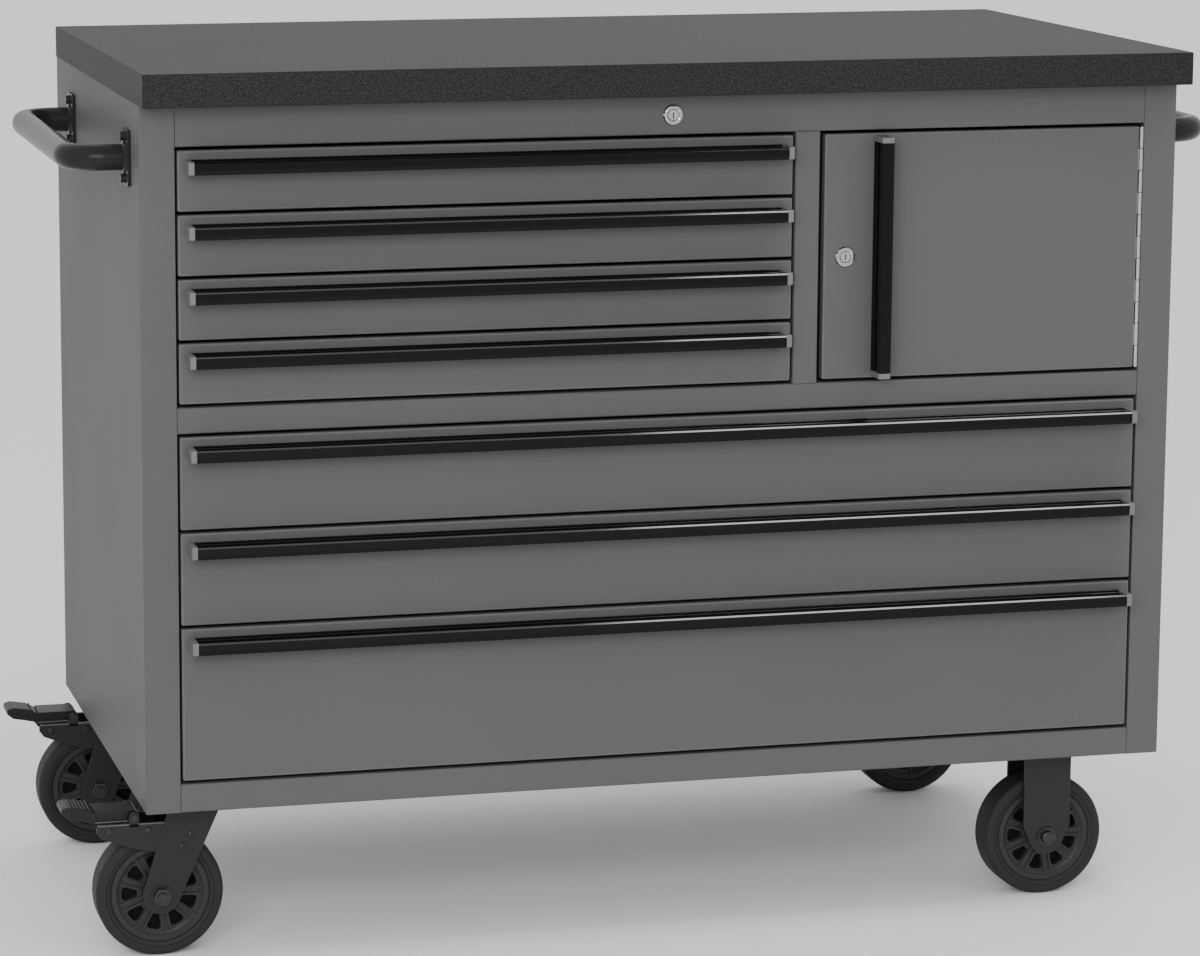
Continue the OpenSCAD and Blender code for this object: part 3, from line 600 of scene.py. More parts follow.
chrome = coat_finish("chrome_plate", 0.5, 0.12, mottle=0.1, edge_light=0.1, grain=900,
                     depth=0.00001, Metallic=1.0)
COLLAR_R = 0.012
PLUG_R = 0.006
PLUG_GAP = 0.0001
PLUG_LONG = 0.024
PLUG_FACE = -0.0015
PLUG_SPLIT = 0.004
KEYWAY_W = 0.0008
KEYWAY_H = 0.0034
ROD_R = 0.003
CRANK = 0.012
CRANK_TURN = math.radians(45)
ARM_HALF = 0.004
CRANK_PIN_R = 0.0025
CAM_T = 0.002
CAM_HALF = 0.0075
CAM_TIP_HALF = 0.005


def lock_collar(bm, centre, depth):
    """The stepped collar with its barrel behind the sheet."""
    profile = [(PLUG_R + PLUG_GAP, -0.0008), (PLUG_R + 0.0012, -0.0022), (0.0082, -0.0025),
               (0.0086, -0.0019), (0.0092, -0.0019), (0.0096, -0.0025), (0.0108, -0.0022),
               (COLLAR_R, -0.0008), (COLLAR_R, 0), (0.0088, 0), (0.0088, depth),
               (PLUG_R + PLUG_GAP, depth)]
    ring_solid(bm, profile, centre, "y")


def lock_plug(bm, centre, depth):
    """The plug in two halves that leave the keyway open, on a solid back."""
    for side in (-1, 1):
        arc = [(side * PLUG_R * math.sin(a), PLUG_R * math.cos(a))
               for a in (math.pi * k / 20 for k in range(21))]
        outline = arc + [(0, -KEYWAY_H), (side * KEYWAY_W, -KEYWAY_H),
                         (side * KEYWAY_W, KEYWAY_H), (0, KEYWAY_H)]
        prism(bm, [(centre.x + u, centre.z + v) for u, v in outline], "y",
              centre.y + PLUG_FACE, centre.y + PLUG_SPLIT)
    turned(bm, [(0, PLUG_SPLIT), (PLUG_R, PLUG_SPLIT), (PLUG_R, depth), (0, depth)], centre, "y")


main_at = Vector(joints["main_lock_turn"]["pos_m"])
door_at = Vector(joints["door_lock_turn"]["pos_m"])

for name, at, node, body in (("main_lock_collar", main_at, "main_lock_housing", "cabinet"),
                             ("door_lock_collar", door_at, "door_lock_housing", "door")):
    shape = new_shape()
    lock_collar(shape, Vector((at.x, front_y, at.z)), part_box(node)[1].y - front_y)
    piece(shape, name, [chrome], body, "lock_chrome", node)

low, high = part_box("main_lock_cylinder")
shape = new_shape()
centre = Vector((main_at.x, front_y, main_at.z))
lock_plug(shape, centre, PLUG_LONG)
bar_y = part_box("lock_bar")[0].y
rod_start, rod_end = PLUG_LONG - 0.002, high.y - 0.005 - front_y
turned(shape, [(0, rod_start), (ROD_R, rod_start), (ROD_R, rod_end), (0, rod_end)],
       centre, "y", 1, 24)
pin_x, pin_z = CRANK * math.cos(CRANK_TURN), -CRANK * math.sin(CRANK_TURN)
along = Vector((pin_x, pin_z)).normalized()
across = Vector((-along.y, along.x)) * ARM_HALF
arm = [Vector((0, 0)) - across, Vector((pin_x, pin_z)) - across,
       Vector((pin_x, pin_z)) + along * ARM_HALF, Vector((pin_x, pin_z)) + across,
       Vector((0, 0)) + across, -along * ARM_HALF]
arm_outline = rounded([(centre.x + p.x, centre.z + p.y) for p in arm], 0.002)
prism(shape, arm_outline, "y", bar_y + 0.003, bar_y + 0.007, 1, 0.0004, 1)
turned(shape, [(0, bar_y + 0.005), (CRANK_PIN_R, bar_y + 0.005), (CRANK_PIN_R, high.y),
               (0, high.y)],
       Vector((centre.x + pin_x, 0, centre.z + pin_z)), "y", 1, 24)
piece(shape, "main_lock_plug_and_rod", [chrome, zinc], "main_lock", "lock_chrome",
      "main_lock_cylinder")

low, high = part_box("door_lock_cylinder")
shape = new_shape()
centre = Vector((door_at.x, front_y, door_at.z))
lock_plug(shape, centre, high.y - front_y)
cam_y = front_y + FRONT_DEPTH + 0.004
cam = rounded([(centre.x - CAM_HALF, centre.z + CAM_HALF),
               (centre.x + CAM_HALF, centre.z + CAM_HALF),
               (centre.x + CAM_TIP_HALF, low.z), (centre.x - CAM_TIP_HALF, low.z)],
              [0.0074, 0.0074, 0.002, 0.002])
prism(shape, cam, "y", cam_y, cam_y + CAM_T, 1, CUT_EDGE, 1)
piece(shape, "door_lock_plug_and_cam", [chrome, zinc], "door_lock", "lock_chrome",
      "door_lock_cylinder")


# ---- Worktop ----
# A 38 mm board faced in a fine speckled dark grey laminate, with the same laminate
# wrapped round its edges and the corners eased by hand.

CORNER_R = 0.003
BOARD_EDGE = 0.0012


def laminate_material():
    """Dark grey laminate with fine lighter and darker flecks and a slight pebble."""
    mat = bpy.data.materials.new("worktop_laminate")
    mat.use_nodes = True
    tree = mat.node_tree
    surface = tree.nodes["Principled BSDF"]
    place = add_node(tree, "ShaderNodeTexCoord").outputs["Object"]
    fine = add_node(tree, "ShaderNodeTexNoise", {"Vector": place}, Scale=760.0, Detail=2.0)
    broad = add_node(tree, "ShaderNodeTexNoise", {"Vector": place}, Scale=2.5, Detail=3.0)
    flecks = add_node(tree, "ShaderNodeValToRGB", {"Fac": fine.outputs[0]})
    flecks.color_ramp.elements[0].position = 0.36
    flecks.color_ramp.elements[0].color = (0.011, 0.011, 0.0115, 1)
    flecks.color_ramp.elements[1].position = 0.66
    flecks.color_ramp.elements[1].color = (0.044, 0.044, 0.045, 1)
    middle = flecks.color_ramp.elements.new(0.5)
    middle.color = (0.021, 0.021, 0.0215, 1)
    shade = add_node(tree, "ShaderNodeMapRange", {"Value": broad.outputs[0]})
    shade.inputs["To Min"].default_value = 0.85
    shade.inputs["To Max"].default_value = 1.15
    colour = add_node(tree, "ShaderNodeVectorMath", {0: flecks.outputs[0]}, operation="SCALE")
    tree.links.new(shade.outputs[0], colour.inputs["Scale"])
    bump = add_node(tree, "ShaderNodeBump", {"Height": fine.outputs[0]})
    bump.inputs["Distance"].default_value = 0.0002
    bump.inputs["Strength"].default_value = 0.6
    tree.links.new(colour.outputs[0], surface.inputs["Base Color"])
    tree.links.new(bump.outputs[0], surface.inputs["Normal"])
    surface.inputs["Roughness"].default_value = 0.42
    surface.inputs["Specular IOR Level"].default_value = 0.2
    surface.inputs["IOR"].default_value = 1.16
    return mat


laminate = laminate_material()
low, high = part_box("worktop")
shape = new_shape()
plan = rounded([(low.x, low.y), (high.x, low.y), (high.x, high.y), (low.x, high.y)],
               CORNER_R, 6)
prism(shape, plan, "z", low.z, high.z, 0, BOARD_EDGE, 3)
piece(shape, "worktop_board", [laminate], "cabinet", "worktop_board", "worktop")


# ---- Push handles ----
# A steel tube bent twice and welded to two foot plates, coated gloss dark grey. Each
# plate is held by two hexagon bolts with washers.

tube_grey = coat_finish("tube_grey", 0.016, 0.26, mottle=0.15, edge_light=0.4, grain=500,
                        depth=0.00006, IOR=1.22)
bolt_black = coat_finish("bolt_black", 0.010, 0.35, mottle=0.3, edge_light=0.8, grain=1200,
                         Specular_IOR_Level=0.3)


def swept_tube(bm, path, radius, sides=32, mat=0):
    """A round tube of this radius whose middle follows path, which lies in a plane z = const."""
    before = set(bm.faces)
    rings = []
    for i, point in enumerate(path):
        ahead = path[min(i + 1, len(path) - 1)] - path[max(i - 1, 0)]
        across = Vector((-ahead.y, ahead.x, 0)).normalized()
        rings.append([bm.verts.new(point + across * radius * math.cos(a)
                                   + Vector((0, 0, radius * math.sin(a))))
                      for a in (2 * math.pi * k / sides for k in range(sides))])
    for a, b in zip(rings, rings[1:]):
        for i in range(sides):
            j = (i + 1) % sides
            bm.faces.new((a[i], a[j], b[j], b[i]))
    bm.faces.new(rings[0])
    bm.faces.new(rings[-1])
    close_faces(bm, before, mat)


def hexagon(centre_u, centre_v, across_flats):
    """A hexagon outline of this width across its flats."""
    r = across_flats / 2 / math.cos(math.pi / 6)
    return [(centre_u + r * math.cos(a), centre_v + r * math.sin(a))
            for a in (math.pi / 3 * k for k in range(6))]


bolts_low, bolts_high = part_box("push_handle_bolts")
FOOT_T = 0.004
FOOT_W = 0.042
FOOT_CORNER = 0.005
TUBE_R = 0.015
TUBE_SINK = 0.002
BEND_R = 0.038
WASHER_R = 0.0062
WASHER_T = 0.0014
HEX_EDGE = 0.0005
FOOT_HEX = 0.010
FOOT_HEAD_T = 0.0052
FOOT_NUT_T = 0.005
for side, name in ((-1, "left"), (1, "right")):
    low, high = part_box(f"push_handle_{name}")
    wall = side * half_width
    out_x = side * (max(abs(low.x), abs(high.x)) - TUBE_R)
    foot_ys = (low.y + FOOT_W / 2, high.y - FOOT_W / 2)
    middle_z = (low.z + high.z) / 2
    shape = new_shape()
    path = [Vector((wall + side * TUBE_SINK, foot_ys[0], middle_z)),
            Vector((out_x - side * BEND_R, foot_ys[0], middle_z))]
    for k in range(1, 17):
        a = math.pi / 2 * k / 16
        path.append(Vector((out_x - side * BEND_R * (1 - math.sin(a)),
                            foot_ys[0] + BEND_R * (1 - math.cos(a)), middle_z)))
    for k in range(17):
        a = math.pi / 2 * k / 16
        path.append(Vector((out_x - side * BEND_R * (1 - math.cos(a)),
                            foot_ys[1] - BEND_R * (1 - math.sin(a)), middle_z)))
    path.append(Vector((wall + side * TUBE_SINK, foot_ys[1], middle_z)))
    swept_tube(shape, path, TUBE_R)
    for y in foot_ys:
        plate = rounded([(y - FOOT_W / 2, low.z), (y + FOOT_W / 2, low.z),
                         (y + FOOT_W / 2, high.z), (y - FOOT_W / 2, high.z)], FOOT_CORNER)
        prism(shape, plate, "x", wall, wall + side * FOOT_T, 0, 0.0006, 2)
        weld = [(TUBE_R - 0.001, 0), (TUBE_R + 0.0035, 0), (TUBE_R + 0.0028, 0.0016),
                (TUBE_R + 0.0012, 0.003), (TUBE_R - 0.001, 0.0042)]
        ring_solid(shape, [(r, side * h) for r, h in weld],
                   Vector((wall + side * FOOT_T, y, middle_z)), "x")
    piece(shape, f"push_handle_{name}_tube", [tube_grey], "cabinet", "tube_grey",
          f"push_handle_{name}")

shape = new_shape()
for side in (-1, 1):
    wall = side * half_width
    low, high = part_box("push_handle_left")
    foot_ys = (low.y + FOOT_W / 2, high.y - FOOT_W / 2)
    for y in foot_ys:
        for z in (bolts_low.z + WASHER_R, bolts_high.z - WASHER_R):
            face = wall + side * FOOT_T
            at = Vector((0, y, z))
            turned(shape, [(0, face), (WASHER_R, face), (WASHER_R, face + side * 0.0010),
                           (WASHER_R - 0.0004, face + side * WASHER_T),
                           (0, face + side * WASHER_T)], at, "x", 0, 32)
            for near, far in ((face + side * 0.001, face + side * FOOT_HEAD_T),
                              (wall - side * SHEET, wall - side * (SHEET + FOOT_NUT_T))):
                prism(shape, hexagon(y, z, FOOT_HEX), "x", near, far, 0, HEX_EDGE, 2)
piece(shape, "push_handle_bolt_set", [bolt_black], "cabinet", "bolt_black", "push_handle_bolts")


# ---- Casters: plates, forks and bolts ----
# Pressed steel forks with a black coat under drilled top plates. The left pair turn on
# a ball race and a kingpin, the right pair are fixed.

caster_steel = coat_finish("caster_steel", 0.015, 0.38, mottle=0.3, edge_light=1.2, grain=700,
                           depth=0.00008, Specular_IOR_Level=0.25)
axle_steel = coat_finish("axle_steel", 0.042, 0.38, mottle=0.3, edge_light=1.0, grain=800,
                         Metallic=0.8)
# A lighter steel colour for the lips of the brake housing and the pedal: a painted highlight line
# along them.
lip_painted_highlight = coat_finish("lip_painted_highlight", 0.11, 0.32, mottle=0.3, edge_light=0.6, grain=800,
                         Metallic=0.8)

plate_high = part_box("swivel_plates")[1]
PLATE_T = 0.004
PLATE_HALF = (0.052, 0.042)
PLATE_CORNER = 0.008
LEG_IN = 0.026
LEG_OUT = 0.030
LEG_EDGE = 0.0009
LEG_NOSE = 0.022
CROWN_TOP = plate_high.z - 0.0113
CROWN_LOW = CROWN_TOP - 0.004
CROWN_BACK = 0.036
CROWN_FRONT = 0.024
RACE_R = 0.031
PIN_R = 0.005
AXLE_R = 0.006
AXLE_WASHER_R = 0.012
AXLE_HEX = 0.0185
AXLE_REACH = 0.009
HOUSING_T = 0.0025
FIXED_HALF = 0.030
BOLT_AT = (0.040, 0.030)
CASTER_HEX = 0.013
ENDS = ("front", "rear")
axle = {c: Vector(joints[f"wheel_{c}_roll"]["pos_m"])
        for c in ("front_left", "rear_left", "front_right", "rear_right")}
kingpin = {end: Vector(joints[f"swivel_{end}_turn"]["pos_m"]) for end in ENDS}


def top_plate(bm, x, y):
    """The drilled mounting plate under the base pan."""
    long, wide = PLATE_HALF
    outline = rounded([(x - long, y - wide), (x + long, y - wide), (x + long, y + wide),
                       (x - long, y + wide)], PLATE_CORNER)
    prism(bm, outline, "z", plate_high.z - PLATE_T, plate_high.z, 0, 0.0006, 2)


def touch(p, centre, r, side):
    """Where a line from p touches the circle of radius r about centre."""
    d = Vector(p) - Vector(centre)
    a = math.atan2(d.y, d.x) + side * math.acos(r / d.length)
    return (centre[0] + r * math.cos(a), centre[1] + r * math.sin(a))


def leg_outline(centre, top_a, top_b, r):
    """A fork leg: two top corners, tapering to a round end about the axle."""
    start, end = touch(top_b, centre, r, -1), touch(top_a, centre, r, 1)
    a0 = math.atan2(start[1] - centre[1], start[0] - centre[0])
    a1 = math.atan2(end[1] - centre[1], end[0] - centre[0])
    while a1 > a0:
        a1 -= 2 * math.pi
    arc = [(centre[0] + r * math.cos(a0 + (a1 - a0) * k / 20),
            centre[1] + r * math.sin(a0 + (a1 - a0) * k / 20)) for k in range(21)]
    return [top_a, top_b] + arc


def axle_bolt(bm, at, round_head):
    """The axle bolt: washers, a nut behind, and a round or hexagon head in front."""
    turned(bm, [(0, -LEG_OUT - 0.001), (AXLE_R, -LEG_OUT - 0.001), (AXLE_R, LEG_OUT + 0.004),
                (0, LEG_OUT + 0.004)], at, "y", 1, 32)
    r = AXLE_WASHER_R
    for side in (-1, 1):
        turned(bm, [(0, side * LEG_OUT), (r - 0.0002, side * LEG_OUT),
                    (r, side * (LEG_OUT + 0.0004)), (r, side * (LEG_OUT + 0.0016)),
                    (r - 0.0004, side * (LEG_OUT + 0.002)), (0, side * (LEG_OUT + 0.002))],
               at, "y", 1, 40)
    nut = hexagon(at.x, at.z, AXLE_HEX)
    prism(bm, nut, "y", at.y + LEG_OUT + 0.0015, at.y + LEG_OUT + AXLE_REACH, 1, 0.0008, 2)
    if round_head:
        turned(bm, [(0, -LEG_OUT - AXLE_REACH), (0.0065, -LEG_OUT - 0.0088),
                    (0.0078, -LEG_OUT - 0.0078), (0.0082, -LEG_OUT - 0.0062),
                    (0.0082, -LEG_OUT - 0.001), (0, -LEG_OUT - 0.001)], at, "y", 1, 40)
    else:
        prism(bm, nut, "y", at.y - LEG_OUT - AXLE_REACH, at.y - LEG_OUT - 0.0015, 1, 0.0008, 2)
        turned(bm, [(0, -LEG_OUT - 0.0115), (0.005, -LEG_OUT - 0.0115),
                    (0.0058, -LEG_OUT - 0.0107), (0.0058, -LEG_OUT - 0.008),
                    (0, -LEG_OUT - 0.008)], at, "y", 1, 32)


shape = new_shape()
for end in ENDS:
    at = kingpin[end]
    top_plate(shape, at.x, at.y)
    centre = Vector((at.x, at.y, 0))
    z = plate_high.z - PLATE_T
    turned(shape, [(0, z + 0.001), (RACE_R, z + 0.001), (RACE_R + 0.002, z - 0.001),
                   (RACE_R + 0.002, z - 0.003), (RACE_R - 0.001, z - 0.0068),
                   (0, z - 0.0068)], centre, "z", 0, 64)
    turned(shape, [(0, CROWN_LOW - 0.0075), (PIN_R + 0.0035, CROWN_LOW - 0.0075),
                   (PIN_R + 0.004, CROWN_LOW - 0.007), (PIN_R + 0.004, CROWN_LOW - 0.0005),
                   (PIN_R, CROWN_LOW - 0.0005), (PIN_R, z), (0, z)], centre, "z", 0, 32)
piece(shape, "swivel_top_plates", [caster_steel], "cabinet", "caster_steel", "swivel_plates")

for end in ENDS:
    pin = kingpin[end]
    wheel_at = axle[f"{end}_left"]
    shape = new_shape()
    crown_a, crown_b = pin.x - CROWN_BACK, pin.x + CROWN_FRONT
    legs = leg_outline((wheel_at.x, wheel_at.z), (crown_a, CROWN_TOP), (crown_b, CROWN_TOP),
                       LEG_NOSE)
    for side in (-1, 1):
        prism(shape, legs, "y", pin.y + side * LEG_IN, pin.y + side * LEG_OUT, 0, LEG_EDGE, 2)
    block(shape, (crown_a, pin.y - LEG_IN, CROWN_LOW), (crown_b, pin.y + LEG_IN, CROWN_TOP),
          0, 0.0006, 2)
    turned(shape, [(PIN_R + 0.0002, CROWN_LOW), (RACE_R - 0.002, CROWN_LOW),
                   (RACE_R, CROWN_LOW + 0.002), (RACE_R, CROWN_TOP),
                   (PIN_R + 0.0002, CROWN_TOP)], Vector((pin.x, pin.y, 0)), "z", 0, 64)
    top_z = CROWN_LOW - 0.009
    left_x = pin.x - 0.120
    edge_z = top_z - 0.001
    housing = rounded([(left_x, edge_z), (pin.x - 0.034, edge_z), (pin.x - 0.046, top_z - 0.036),
                       (pin.x - 0.080, top_z - 0.029), (left_x + 0.006, top_z - 0.016),
                       (left_x, top_z - 0.008)], 0.003)
    for side in (-1, 1):
        inner, outer = pin.y + side * LEG_IN, pin.y + side * (LEG_IN + HOUSING_T)
        prism(shape, housing, "y", inner, outer, 0, 0.0006, 2)
        # The housing lip takes the lighter steel colour: a painted highlight line.
        lip = sorted((outer, inner - side * 0.003))
        block(shape, (left_x + 0.002, lip[0], top_z - 0.0014), (pin.x - 0.038, lip[1], top_z),
              2, 0.0004, 2)
        for x in (pin.x - 0.105, pin.x - 0.060):
            face = side * (LEG_IN + 0.0024)
            turned(shape, [(0, face), (0.004, face), (0.004, face + side * 0.0006),
                           (0.0028, face + side * 0.0017), (0, face + side * 0.002)],
                   Vector((x, pin.y, top_z - 0.008)), "y", 1, 24)
        lever = joints[f"pedal_{end}_press"]["pos_m"]
        ear = rounded([(lever[0] - 0.006, top_z - 0.004), (lever[0] + 0.006, top_z - 0.004),
                       (lever[0] + 0.006, lever[2] + 0.006), (lever[0] - 0.006, lever[2] + 0.006)],
                      [0, 0, 0.0058, 0.0058])
        prism(shape, ear, "y", inner, outer, 0, 0.0005, 2)
        turned(shape, [(0, side * 0.02), (0.0025, side * 0.02),
                       (0.0025, side * (LEG_IN + 0.0024)), (0.0042, side * (LEG_IN + 0.0024)),
                       (0.0038, side * (LEG_IN + 0.004)), (0, side * (LEG_IN + 0.0046))],
               Vector((lever[0], pin.y, lever[2])), "y", 1, 24)
        for dx, dz in ((-0.010, -0.030), (-0.020, -0.044)):
            face = side * (LEG_OUT - 0.0003)
            turned(shape, [(0, face), (0.0045, face), (0.0042, face + side * 0.0012),
                           (0.0022, face + side * 0.0022), (0, face + side * 0.0025)],
                   Vector((pin.x + dx, pin.y, CROWN_TOP + dz)), "y", 0, 24)
    axle_bolt(shape, wheel_at, False)
    piece(shape, f"swivel_fork_{end}_pressing", [caster_steel, axle_steel, lip_painted_highlight],
          f"swivel_{end}", "caster_steel", f"swivel_fork_{end}")

shape = new_shape()
for end in ENDS:
    at = axle[f"{end}_right"]
    top_plate(shape, at.x, at.y)
    z = plate_high.z - PLATE_T + 0.0005
    shoulder = at.z + 0.014
    leg_a, leg_b = at.x - FIXED_HALF, at.x + FIXED_HALF
    nose = leg_outline((at.x, at.z), (leg_a, shoulder), (leg_b, shoulder), LEG_NOSE)
    leg = [(leg_a, z), (leg_b, z)] + nose[1:] + [nose[0]]
    for side in (-1, 1):
        prism(shape, leg, "y", at.y + side * LEG_IN, at.y + side * LEG_OUT, 0, LEG_EDGE, 2)
    axle_bolt(shape, at, True)
piece(shape, "fixed_fork_pressings", [caster_steel, axle_steel], "cabinet", "caster_steel",
      "fixed_forks")

shape = new_shape()
for x in (kingpin["front"].x, axle["front_right"].x):
    for y in (kingpin["front"].y, kingpin["rear"].y):
        for dx in (-BOLT_AT[0], BOLT_AT[0]):
            for dy in (-BOLT_AT[1], BOLT_AT[1]):
                head = hexagon(x + dx, y + dy, CASTER_HEX)
                z = plate_high.z - PLATE_T
                prism(shape, head, "z", z - 0.0053, z, 0, HEX_EDGE, 2)
                z = pan_high.z
                prism(shape, head, "z", z, z + 0.0065, 0, HEX_EDGE, 2)
                turned(shape, [(0, z + 0.006), (0.004, z + 0.006), (0.004, z + 0.0095),
                               (0.0035, z + 0.010), (0, z + 0.010)],
                       Vector((x + dx, y + dy, 0)), "z", 0, 24)
piece(shape, "caster_bolt_set", [zinc], "cabinet", "zinc", "caster_bolts")


# ---- Brake pedals ----
# A lever box pressed from steel with a black coat, on a cross pin in the fork's ears, with
# a curved foot pad whose upper face is ribbed for grip, and the brake shoe below it.

pedal_black = coat_finish("pedal_black", 0.009, 0.4, mottle=0.3, edge_light=1.4, grain=700,
                          depth=0.00008, Specular_IOR_Level=0.25)
LEVER_LONG = 0.044
LEVER_HALF = 0.0186
PAD_HALF = 0.0193
RIBS = 7
RIB_PITCH = 0.0042
RIB_T = 0.0018

for end in ENDS:
    pin = kingpin[end]
    lever = Vector(joints[f"pedal_{end}_press"]["pos_m"])
    tip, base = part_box(f"brake_pedal_{end}")[0].x, lever.z
    shape = new_shape()
    block(shape, (lever.x - LEVER_LONG, pin.y - LEVER_HALF, base - 0.0064),
          (lever.x, pin.y + LEVER_HALF, base + 0.0064), 0, 0.0008, 2)
    # The lower lip takes the lighter steel colour, a painted highlight line; the upper lip keeps
    # the black coat.
    for z0, z1, mat in ((-0.0070, -0.0052, 1), (0.0056, 0.0070, 0)):
        block(shape, (lever.x - LEVER_LONG, pin.y - 0.020, base + z0),
              (lever.x - 0.001, pin.y + 0.020, base + z1), mat, 0.0005, 2)
    turned(shape, [(0, -0.0195), (0.0062, -0.0195), (0.0068, -0.0188), (0.0068, 0.0188),
                   (0.0062, 0.0195), (0, 0.0195)], Vector((lever.x, pin.y, base)), "y", 0, 32)
    block(shape, (lever.x - 0.006, pin.y - 0.014, base - 0.021),
          (lever.x + 0.006, pin.y + 0.014, base), 0, 0.001, 2)
    pad = rounded([(lever.x - 0.042, base - 0.0068), (lever.x - 0.042, base + 0.005),
                   (tip + 0.028, base + 0.0114), (tip + 0.010, base + 0.0143),
                   (tip + 0.001, base + 0.0133), (tip, base + 0.007),
                   (tip + 0.008, base + 0.0002), (tip + 0.024, base - 0.0027)],
                  [0.001, 0.008, 0.02, 0.006, 0.004, 0.004, 0.008, 0.02])
    prism(shape, pad, "y", pin.y - PAD_HALF, pin.y + PAD_HALF, 0, 0.0018, 3)
    for k in range(RIBS):
        x = tip + 0.0065 + RIB_PITCH * k
        upper = base + 0.0143 - max(0, x - tip - 0.010) * 0.161
        under = base + 0.0012 - max(0, x - tip - 0.008) * 0.18
        block(shape, (x, pin.y - PAD_HALF - 0.0006, under + 0.0012),
              (x + RIB_T, pin.y + PAD_HALF + 0.0006, upper + 0.0004), 0, 0.0005, 1)
    piece(shape, f"brake_pedal_{end}_lever", [pedal_black, lip_painted_highlight], f"pedal_{end}",
          "caster_steel", f"brake_pedal_{end}")


# ---- Wheels ----
# A moulded core with nine deep pockets on each side between double-ribbed spokes, and a grey tyre
# moulded round it with thin rings on its sides. The pocket floors are coloured near black: painted
# shade in the pockets.

core_plastic = coat_finish("wheel_core_plastic", 0.022, 0.45, mottle=0.25, edge_light=0.7,
                           grain=900, depth=0.00008, Specular_IOR_Level=0.25)
tyre_rubber = coat_finish("tyre_rubber", 0.018, 0.62, mottle=0.45, edge_light=0.3, grain=350,
                          depth=0.00012, Specular_IOR_Level=0.2)
# Near-black for the pocket floors: painted shade; the floors are the same plastic as the core.
pocket_painted_shade = coat_finish("wheel_pocket_painted_shade", 0.004, 0.6, mottle=0.25, edge_light=0.2,
                           grain=900, depth=0.00008, Specular_IOR_Level=0.15)
SPOKES = 9
WHEEL_R = 0.075
HALF_W = 0.021
CORE_R = 0.058
HUB_R = 0.018
RIM_IN = 0.0485
WEB_HALF = 0.0152
POCKET_FLOOR = 0.004
RIB_LOW, RIB_HIGH = 0.0145, 0.0172
POCKET = rounded([(0.0265, -0.0036), (0.0448, -0.0096), (0.0448, 0.0096), (0.0265, 0.0036)],
                 [0.0030, 0.0042, 0.0042, 0.0030], 4)


def web_sector(bm, at, turn):
    """One ninth of the web between hub and rim, with a pocket in each side."""
    reach = math.pi / SPOKES
    corners = [(HUB_R, -reach), (RIM_IN + 0.001, -reach), (RIM_IN + 0.001, reach), (HUB_R, reach)]
    frame_loop = []
    for i in range(4):
        before, here, after = corners[i - 1], corners[i], corners[(i + 1) % 4]
        for share in (-0.5, -0.25, 0, 0.25, 0.5):
            other = before if share < 0 else after
            r = here[0] + (other[0] - here[0]) * abs(share)
            a = here[1] + (other[1] - here[1]) * abs(share)
            frame_loop.append((r * math.cos(a), r * math.sin(a)))
    cos_t, sin_t = math.cos(turn), math.sin(turn)

    def ring(loop, y):
        return [bm.verts.new((at.x + u * cos_t - v * sin_t, at.y + y,
                              at.z + u * sin_t + v * cos_t)) for u, v in loop]

    outer = []
    for side in (-1, 1):
        rings = [ring(frame_loop, side * WEB_HALF), ring(POCKET, side * (WEB_HALF - 0.0008)),
                 ring(POCKET, side * POCKET_FLOOR)]
        outer.append(rings[0])
        for a, b in zip(rings, rings[1:]):
            for i in range(len(a)):
                j = (i + 1) % len(a)
                bm.faces.new((a[i], a[j], b[j], b[i]))
        bm.faces.new(rings[-1])
    for i in (0, 1, 7, 8, 10, 11, 17, 18):
        bm.faces.new((outer[0][i], outer[0][i + 1], outer[1][i + 1], outer[1][i]))


def wheel_core(bm, at):
    """Hub, web, ribs and rim."""
    before = set(bm.faces)
    for s in range(SPOKES):
        web_sector(bm, at, (s + 0.5) * 2 * math.pi / SPOKES)
    bmesh.ops.remove_doubles(bm, verts=bm.verts, dist=1e-6)
    # The pocket floors take the near-black material: painted shade.
    for face in close_faces(bm, before, 0):
        if abs(abs(face.calc_center_median().y - at.y) - POCKET_FLOOR) < 0.0001:
            face.material_index = 1
    hub = [(0.0062, -HALF_W - 0.002), (HUB_R - 0.003, -HALF_W - 0.002),
           (HUB_R - 0.002, -HALF_W - 0.001), (HUB_R - 0.002, -0.0185), (HUB_R + 0.0020, -0.0172),
           (HUB_R + 0.0030, -0.0145)]
    ring_solid(bm, hub + [(r, -h) for r, h in reversed(hub)], at, "y", 0, 72)
    rim = [(CORE_R, -HALF_W + 0.003), (CORE_R - 0.0006, -HALF_W + 0.0022),
           (RIM_IN + 0.0030, -HALF_W + 0.0022), (RIM_IN + 0.0020, -HALF_W + 0.0032),
           (RIM_IN + 0.0010, -0.0170), (RIM_IN - 0.0012, -0.0158), (RIM_IN - 0.0004, -0.0140)]
    ring_solid(bm, rim + [(r, -h) for r, h in reversed(rim)], at, "y", 0, 96)
    for s in range(SPOKES):
        a = s * 2 * math.pi / SPOKES
        way, across = Vector((math.cos(a), math.sin(a))), Vector((-math.sin(a), math.cos(a)))
        for offset in (-0.0038, 0.0038):
            inner = way * (HUB_R - 0.002) + across * offset * 0.8
            outer = way * (RIM_IN + 0.002) + across * offset * 1.1
            width = across * 0.0013
            corners = [inner - width, outer - width, outer + width, inner + width]
            outline = [(at.x + p.x, at.z + p.y) for p in corners]
            for side in (-1, 1):
                prism(bm, outline, "y", at.y + side * RIB_LOW, at.y + side * RIB_HIGH,
                      0, 0.0008, 2)


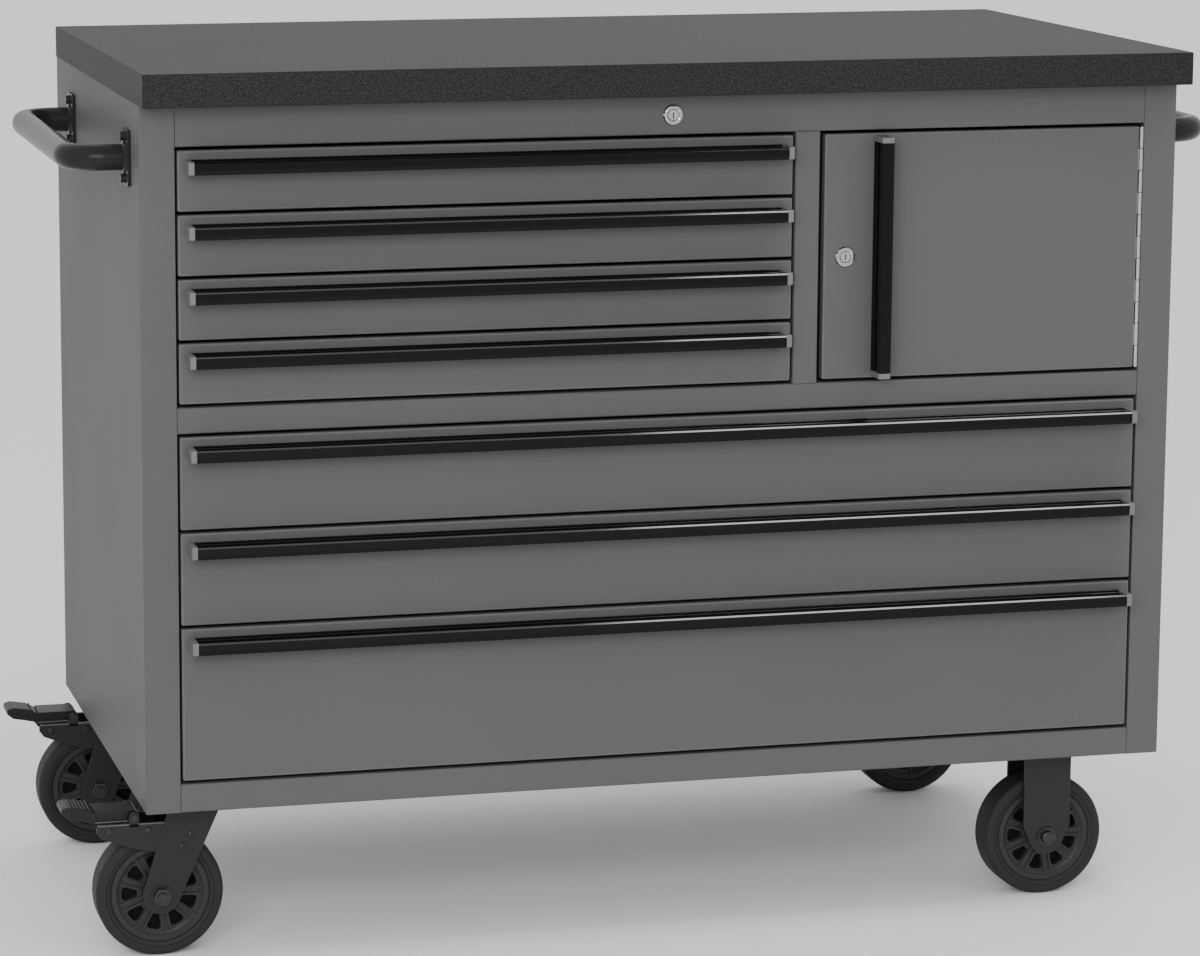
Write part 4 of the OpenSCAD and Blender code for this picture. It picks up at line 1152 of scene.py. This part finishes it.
def tyre(bm, at):
    """The tread band with round shoulders and two fine rings on each side."""
    side = [(CORE_R - 0.0005, -HALF_W + 0.0035), (CORE_R + 0.0006, -HALF_W + 0.0018),
            (CORE_R + 0.0022, -HALF_W + 0.0006), (0.0632, -HALF_W), (0.0636, -HALF_W + 0.0006),
            (0.0640, -HALF_W)]
    shoulder = 0.0065
    for k in range(9):
        a = math.pi / 2 * k / 8
        side.append((WHEEL_R - shoulder + shoulder * math.sin(a),
                     -HALF_W + shoulder * (1 - math.cos(a))))
    side.append((WHEEL_R, -0.006))
    ring_solid(bm, side + [(r, -h) for r, h in reversed(side)], at, "y", 0, 128)


for corner, at in axle.items():
    shape = new_shape()
    wheel_core(shape, at)
    piece(shape, f"wheel_core_{corner}_moulding", [core_plastic, pocket_painted_shade],
          f"wheel_{corner}", "wheel_core", f"wheel_core_{corner}")
    shape = new_shape()
    tyre(shape, at)
    piece(shape, f"tyre_{corner}_tread", [tyre_rubber], f"wheel_{corner}", "tyre",
          f"tyre_{corner}")


# ---- Studio ----
# A plain pale floor under soft light: a bright surround, a large soft light in front on the
# left and a smaller one overhead on the right that draws a line along the black handles.

floor_mesh = bpy.data.meshes.new("floor")
SPAN = 30
floor_mesh.from_pydata([(-SPAN, -SPAN, 0), (SPAN, -SPAN, 0), (SPAN, SPAN, 0), (-SPAN, SPAN, 0)],
                       [], [(0, 1, 2, 3)])
floor = bpy.data.objects.new("floor", floor_mesh)
floor.location.z = cad_box[0].z
bpy.context.scene.collection.objects.link(floor)
floor_mat = bpy.data.materials.new("pale_floor")
floor_mat.use_nodes = True
floor_skin = floor_mat.node_tree.nodes["Principled BSDF"]
floor_skin.inputs["Base Color"].default_value = (0.95, 0.95, 0.95, 1)
floor_skin.inputs["Roughness"].default_value = 0.8
floor_mesh.materials.append(floor_mat)

world = bpy.data.worlds.new("surround")
world.use_nodes = True
surround = world.node_tree.nodes["Background"]
surround.inputs["Color"].default_value = (1, 1, 1, 1)
surround.inputs["Strength"].default_value = 1.1
bpy.context.scene.world = world


def soft_light(name, at, aim, size, power):
    """A rectangular soft light at a place, aimed at a point."""
    data = bpy.data.lights.new(name, "AREA")
    data.shape = "RECTANGLE"
    data.size, data.size_y = size
    data.energy = power
    light = bpy.data.objects.new(name, data)
    light.location = at
    light.rotation_euler = (Vector(aim) - Vector(at)).to_track_quat("-Z", "Y").to_euler()
    bpy.context.scene.collection.objects.link(light)


soft_light("key", (-1.6, -3.9, 2.1), (0, -0.3, 0.85), (2.2, 1.4), 90)
soft_light("strip", (0.95, -0.72, 2.4), (0.95, -0.72, 0), (0.9, 0.65), 14)

camera = bpy.data.objects.new("camera", bpy.data.cameras.new("camera"))
camera.data.sensor_width = 36
camera.data.lens = 122.6
camera.data.shift_x, camera.data.shift_y = 0.15, -0.09
camera.location = (-1.3461, -4.7839, 1.4583)
camera.rotation_euler = (math.radians(90 - 9.452), 0, math.radians(-13.15))
camera.data.clip_end = 100
bpy.context.scene.collection.objects.link(camera)
bpy.context.scene.camera = camera
